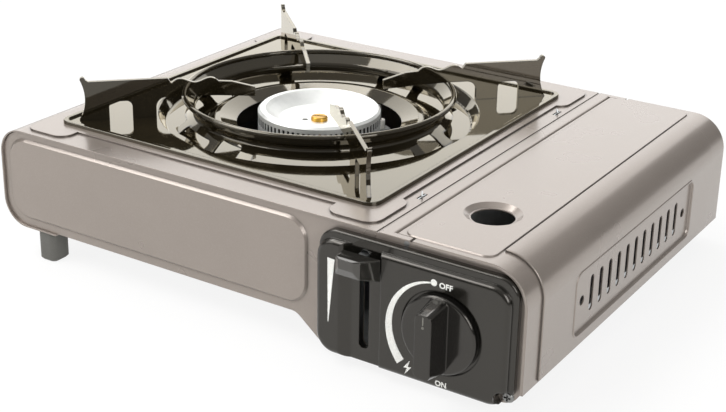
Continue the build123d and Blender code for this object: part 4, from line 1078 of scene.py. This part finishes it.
@dataclass
class Screws:
    """Cross-recessed case screws, and the plain ones of valve and burner; sizes in millimetres."""

    plain: tuple[str, ...] = ("valve_screws", "burner_screws")
    case_node: str = "case_screws"
    head_radius: float = 3.2
    head_height: float = 1.5
    head_sides: int = 40
    head_rows: int = 3
    crown_share: float = 0.74
    shank_radius: float = 1.5
    shank_length: float = 4.9
    shank_sides: int = 24
    recess_length: float = 3.6
    recess_width: float = 0.85
    recess_depth: float = 1.0
    heads: tuple[tuple[tuple[float, float, float], tuple[float, float, float]], ...] = (
        ((160.8, -116.9, 10.5), (0.0, -1.0, 0.0)),
        ((160.8, 139.9, 10.5), (0.0, 1.0, 0.0)),
        ((69.0, 139.9, 10.5), (0.0, 1.0, 0.0)),
    )

    def tree(self) -> bpy.types.NodeTree:
        """Build the node tree that sets one screw on each point, turned along its facing.

        Returns:
            The tree, with its sizes as named inputs.
        """
        tree = bpy.data.node_groups.new("ScrewsOnPoints", "GeometryNodeTree")
        face = tree.interface
        face.new_socket("Geometry", in_out="INPUT", socket_type="NodeSocketGeometry")
        for name in self.sizes():
            face.new_socket(name, in_out="INPUT", socket_type="NodeSocketFloat")
        face.new_socket("Material", in_out="INPUT", socket_type="NodeSocketMaterial")
        face.new_socket("Geometry", in_out="OUTPUT", socket_type="NodeSocketGeometry")
        given = put(tree, "NodeGroupInput").outputs
        head = put(
            tree,
            "GeometryNodeMeshCone",
            inputs={
                "Vertices": self.head_sides,
                "Side Segments": self.head_rows,
                "Radius Top": given["Crown radius"],
                "Radius Bottom": given["Head radius"],
                "Depth": given["Head height"],
            },
        )
        shank = put(
            tree,
            "GeometryNodeMeshCylinder",
            inputs={
                "Vertices": self.shank_sides,
                "Radius": given["Shank radius"],
                "Depth": given["Shank length"],
            },
        )
        half = put(
            tree,
            "ShaderNodeMath",
            {"operation": "MULTIPLY"},
            {0: given["Shank length"], 1: -0.5},
        )
        down = put(tree, "ShaderNodeCombineXYZ", inputs={"Z": half.outputs[0]})
        sunk = put(
            tree,
            "GeometryNodeTransform",
            inputs={"Geometry": shank.outputs["Mesh"], "Translation": down.outputs[0]},
        )
        bars = []
        for first, second in (("Recess length", "Recess width"), ("Recess width", "Recess length")):
            size = put(
                tree,
                "ShaderNodeCombineXYZ",
                inputs={"X": given[first], "Y": given[second], "Z": given["Recess depth"]},
            )
            bars.append(put(tree, "GeometryNodeMeshCube", inputs={"Size": size.outputs[0]}))
        cross = put(tree, "GeometryNodeMeshBoolean", {"operation": "UNION"})
        for bar in bars:
            tree.links.new(bar.outputs["Mesh"], cross.inputs["Mesh 2"])
        crown = put(tree, "ShaderNodeCombineXYZ", inputs={"Z": given["Head height"]})
        raised = put(
            tree,
            "GeometryNodeTransform",
            inputs={"Geometry": cross.outputs["Mesh"], "Translation": crown.outputs[0]},
        )
        cut = put(
            tree,
            "GeometryNodeMeshBoolean",
            {"operation": "DIFFERENCE"},
            {"Mesh 1": head.outputs["Mesh"], "Mesh 2": raised.outputs["Geometry"]},
        )
        screw = put(tree, "GeometryNodeJoinGeometry", inputs={0: sunk.outputs["Geometry"]})
        tree.links.new(cut.outputs["Mesh"], screw.inputs[0])
        way = put(
            tree,
            "GeometryNodeInputNamedAttribute",
            {"data_type": "FLOAT_VECTOR"},
            {"Name": "facing"},
        )
        turn = put(
            tree,
            "FunctionNodeAlignRotationToVector",
            {"axis": "Z"},
            {"Vector": way.outputs["Attribute"]},
        )
        placed = put(
            tree,
            "GeometryNodeInstanceOnPoints",
            inputs={
                "Points": given["Geometry"],
                "Instance": screw.outputs[0],
                "Rotation": turn.outputs[0],
            },
        )
        real = put(tree, "GeometryNodeRealizeInstances", inputs={0: placed.outputs[0]})
        dressed = put(
            tree,
            "GeometryNodeSetMaterial",
            inputs={"Geometry": real.outputs[0], "Material": given["Material"]},
        )
        put(tree, "NodeGroupOutput", inputs={0: dressed.outputs[0]})
        return tree

    def sizes(self) -> dict[str, float]:
        """Name the tree's sizes.

        Returns:
            Sizes in metres, by the names of the tree's inputs.
        """
        return {
            "Head radius": self.head_radius * MM,
            "Crown radius": self.head_radius * self.crown_share * MM,
            "Head height": self.head_height * MM,
            "Shank radius": self.shank_radius * MM,
            "Shank length": self.shank_length * MM,
            "Recess length": self.recess_length * MM,
            "Recess width": self.recess_width * MM,
            "Recess depth": 2 * self.recess_depth * MM,
        }

    def build(self) -> None:
        """Dress the hidden screws and make the case screws."""
        dress(SCREW_STEEL, self.plain)
        points = bpy.data.meshes.new("screw_points")
        seats = [
            [part * MM - way * self.head_height * MM for part, way in zip(place, facing)]
            for place, facing in self.heads
        ]
        points.from_pydata(seats, [], [])
        ways = points.attributes.new("facing", "FLOAT_VECTOR", "POINT")
        ways.data.foreach_set("vector", [value for _, facing in self.heads for value in facing])
        holder = bpy.data.objects.new("screw_points", points)
        bpy.context.collection.objects.link(holder)
        maker = holder.modifiers.new("Screws", "NODES")
        maker.node_group = self.tree()
        values: dict[str, Any] = dict(self.sizes())
        values["Material"] = SCREW_STEEL.material()
        for item in maker.node_group.interface.items_tree:
            if item.in_out == "INPUT" and item.name in values:
                maker[item.identifier] = values[item.name]
        shown = holder.evaluated_get(bpy.context.evaluated_depsgraph_get())
        mesh = bpy.data.meshes.new_from_object(shown)
        holder.modifiers.remove(maker)
        bpy.data.objects.remove(holder)
        made = piece("cross_screws", mesh, SCREW_STEEL, Part.CASING)
        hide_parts(self.case_node)


@dataclass(frozen=True)
class Lamp:
    """One soft box, aimed at the stove."""

    name: str
    place: tuple[float, float, float]
    size: tuple[float, float]
    radiance: float

    def hang(self, target: Vector) -> bpy.types.Object:
        """Hang the lamp.

        Args:
            target: point that it is aimed at.

        Returns:
            The lamp.
        """
        lamp = bpy.data.lights.new(self.name, "AREA")
        lamp.shape = "RECTANGLE"
        lamp.size, lamp.size_y = self.size
        lamp.energy = self.radiance * math.pi * self.size[0] * self.size[1]
        made = bpy.data.objects.new(self.name, lamp)
        made.location = self.place
        made.rotation_euler = (Vector(self.place) - target).to_track_quat("Z", "Y").to_euler()
        made.visible_camera = False
        bpy.context.collection.objects.link(made)
        return made


@dataclass
class Studio:
    """Camera of the photograph, a pale floor and soft lamps."""

    target_mm: tuple[float, float, float] = (-0.35, 9.98, 44.73)
    azimuth_deg: float = 32.4
    elevation_deg: float = 22.0
    distance_mm: float = 856.24
    roll_deg: float = 1.14
    focal_px: float = 1451.35
    centre_px: tuple[float, float] = (368.09, 175.99)
    sensor_mm: float = 36.0
    nearest_m: float = 0.05
    floor_m: float = 6.0
    floor_squares: int = 8
    paper: str = "#F4F4F2"
    white: str = "#FFFFFF"
    white_share: float = 0.85
    sky: tuple[float, float] = (0.12, 0.5)
    lamps: tuple[Lamp, ...] = (
        Lamp("Lamp_Backdrop", (-0.83, 1.32, 0.72), (2.6, 1.2), 1.6),
        Lamp("Lamp_Overhead", (-0.35, -0.3, 1.65), (1.6, 1.6), 0.35),
        Lamp("Lamp_Rim", (-0.88, 0.58, 1.65), (1.3, 0.4), 5.0),
        Lamp("Lamp_Strip", (-0.85, -0.63, 1.4), (1.6, 0.6), 5.5),
        Lamp("Lamp_Left", (-1.3, -1.2, 1.0), (1.0, 1.0), 2.2),
        Lamp("Lamp_Right", (1.6, -0.7, 0.9), (1.0, 1.0), 4.8),
    )

    def camera(self) -> bpy.types.Object:
        """Set up the camera that took the photograph.

        Returns:
            The camera.
        """
        azimuth = math.radians(self.azimuth_deg)
        elevation = math.radians(self.elevation_deg)
        target = Vector(self.target_mm) * MM
        away = Vector(
            (
                math.cos(elevation) * math.sin(azimuth),
                -math.cos(elevation) * math.cos(azimuth),
                math.sin(elevation),
            )
        )
        level = Vector((0.0, 0.0, 1.0)).cross(away).normalized()
        upward = away.cross(level)
        roll = math.radians(self.roll_deg)
        right = level * math.cos(roll) + upward * math.sin(roll)
        above = upward * math.cos(roll) - level * math.sin(roll)
        lens = bpy.data.cameras.new("Camera_Photo")
        lens.sensor_fit = "HORIZONTAL"
        lens.sensor_width = self.sensor_mm
        lens.lens = self.focal_px * lens.sensor_width / PHOTO_WIDTH
        lens.shift_x = (PHOTO_WIDTH / 2 - self.centre_px[0]) / PHOTO_WIDTH
        lens.shift_y = (self.centre_px[1] - PHOTO_HEIGHT / 2) / PHOTO_WIDTH
        lens.clip_start = self.nearest_m
        made = bpy.data.objects.new("Camera_Photo", lens)
        turn = Matrix((right, above, away)).transposed().to_4x4()
        made.matrix_world = Matrix.Translation(target + away * self.distance_mm * MM) @ turn
        bpy.context.collection.objects.link(made)
        bpy.context.scene.camera = made
        return made

    def floor(self) -> bpy.types.Object:
        """Lay a pale floor that keeps the stove's shadow.

        Returns:
            The floor.
        """
        shell = bmesh.new()
        squares = self.floor_squares
        bmesh.ops.create_grid(shell, x_segments=squares, y_segments=squares, size=self.floor_m / 2)
        mesh = bpy.data.meshes.new("Floor")
        shell.to_mesh(mesh)
        shell.free()
        paper = bpy.data.materials.new("Paper_StudioSweep")
        paper.use_nodes = True
        tree = paper.node_tree
        tree.nodes.clear()
        matt = put(tree, "ShaderNodeBsdfDiffuse", inputs={"Color": srgb(self.paper)})
        glow = put(
            tree, "ShaderNodeEmission", inputs={"Color": srgb(self.white), "Strength": 1.0}
        )
        # Seen directly or in a mirror the paper is nearly white, and it lights the stove as paper does
        path = put(tree, "ShaderNodeLightPath")
        seen = put(
            tree,
            "ShaderNodeMath",
            {"operation": "MAXIMUM"},
            {0: path.outputs["Is Camera Ray"], 1: path.outputs["Is Glossy Ray"]},
        )
        share = put(
            tree,
            "ShaderNodeMath",
            {"operation": "MULTIPLY"},
            {0: seen.outputs[0], 1: self.white_share},
        )
        mixed = put(
            tree,
            "ShaderNodeMixShader",
            inputs={0: share.outputs[0], 1: matt.outputs[0], 2: glow.outputs[0]},
        )
        put(tree, "ShaderNodeOutputMaterial", inputs={"Surface": mixed.outputs[0]})
        mesh.materials.append(paper)
        made = bpy.data.objects.new("Floor", mesh)
        bpy.context.collection.objects.link(made)
        return made

    def light(self) -> None:
        """Hang the lamps and set a soft surround that is brighter overhead."""
        target = Vector(self.target_mm) * MM
        for lamp in self.lamps:
            lamp.hang(target)
        world = bpy.data.worlds.new("Surround_Soft")
        bpy.context.scene.world = world
        world.use_nodes = True
        tree = world.node_tree
        tree.nodes.clear()
        way = put(tree, "ShaderNodeTexCoord")
        height = put(tree, "ShaderNodeSeparateXYZ", inputs={0: way.outputs["Generated"]})
        strength = put(
            tree,
            "ShaderNodeMapRange",
            inputs=dict(zip(RANGE, (height.outputs["Z"], 0.0, 1.0, *self.sky))),
        )
        sky = put(
            tree,
            "ShaderNodeBackground",
            inputs={"Color": srgb(self.white), "Strength": strength.outputs[0]},
        )
        put(tree, "ShaderNodeOutputWorld", inputs={"Surface": sky.outputs[0]})

    def build(self) -> None:
        """Set the camera, floor and light."""
        self.camera()
        self.floor()
        self.light()
        bpy.context.scene.view_settings.view_transform = "Standard"


def main() -> None:
    """Dress the stove piece by piece."""
    logging.basicConfig(level=logging.INFO, format="%(name)s: %(message)s")
    for assembly in (
        Studio(),
        Casing(),
        PanSupport(),
        Burner(),
        CartridgeBay(),
        Controls(),
        Screws(),
    ):
        assembly.build()


if __name__ == "__main__":
    main()
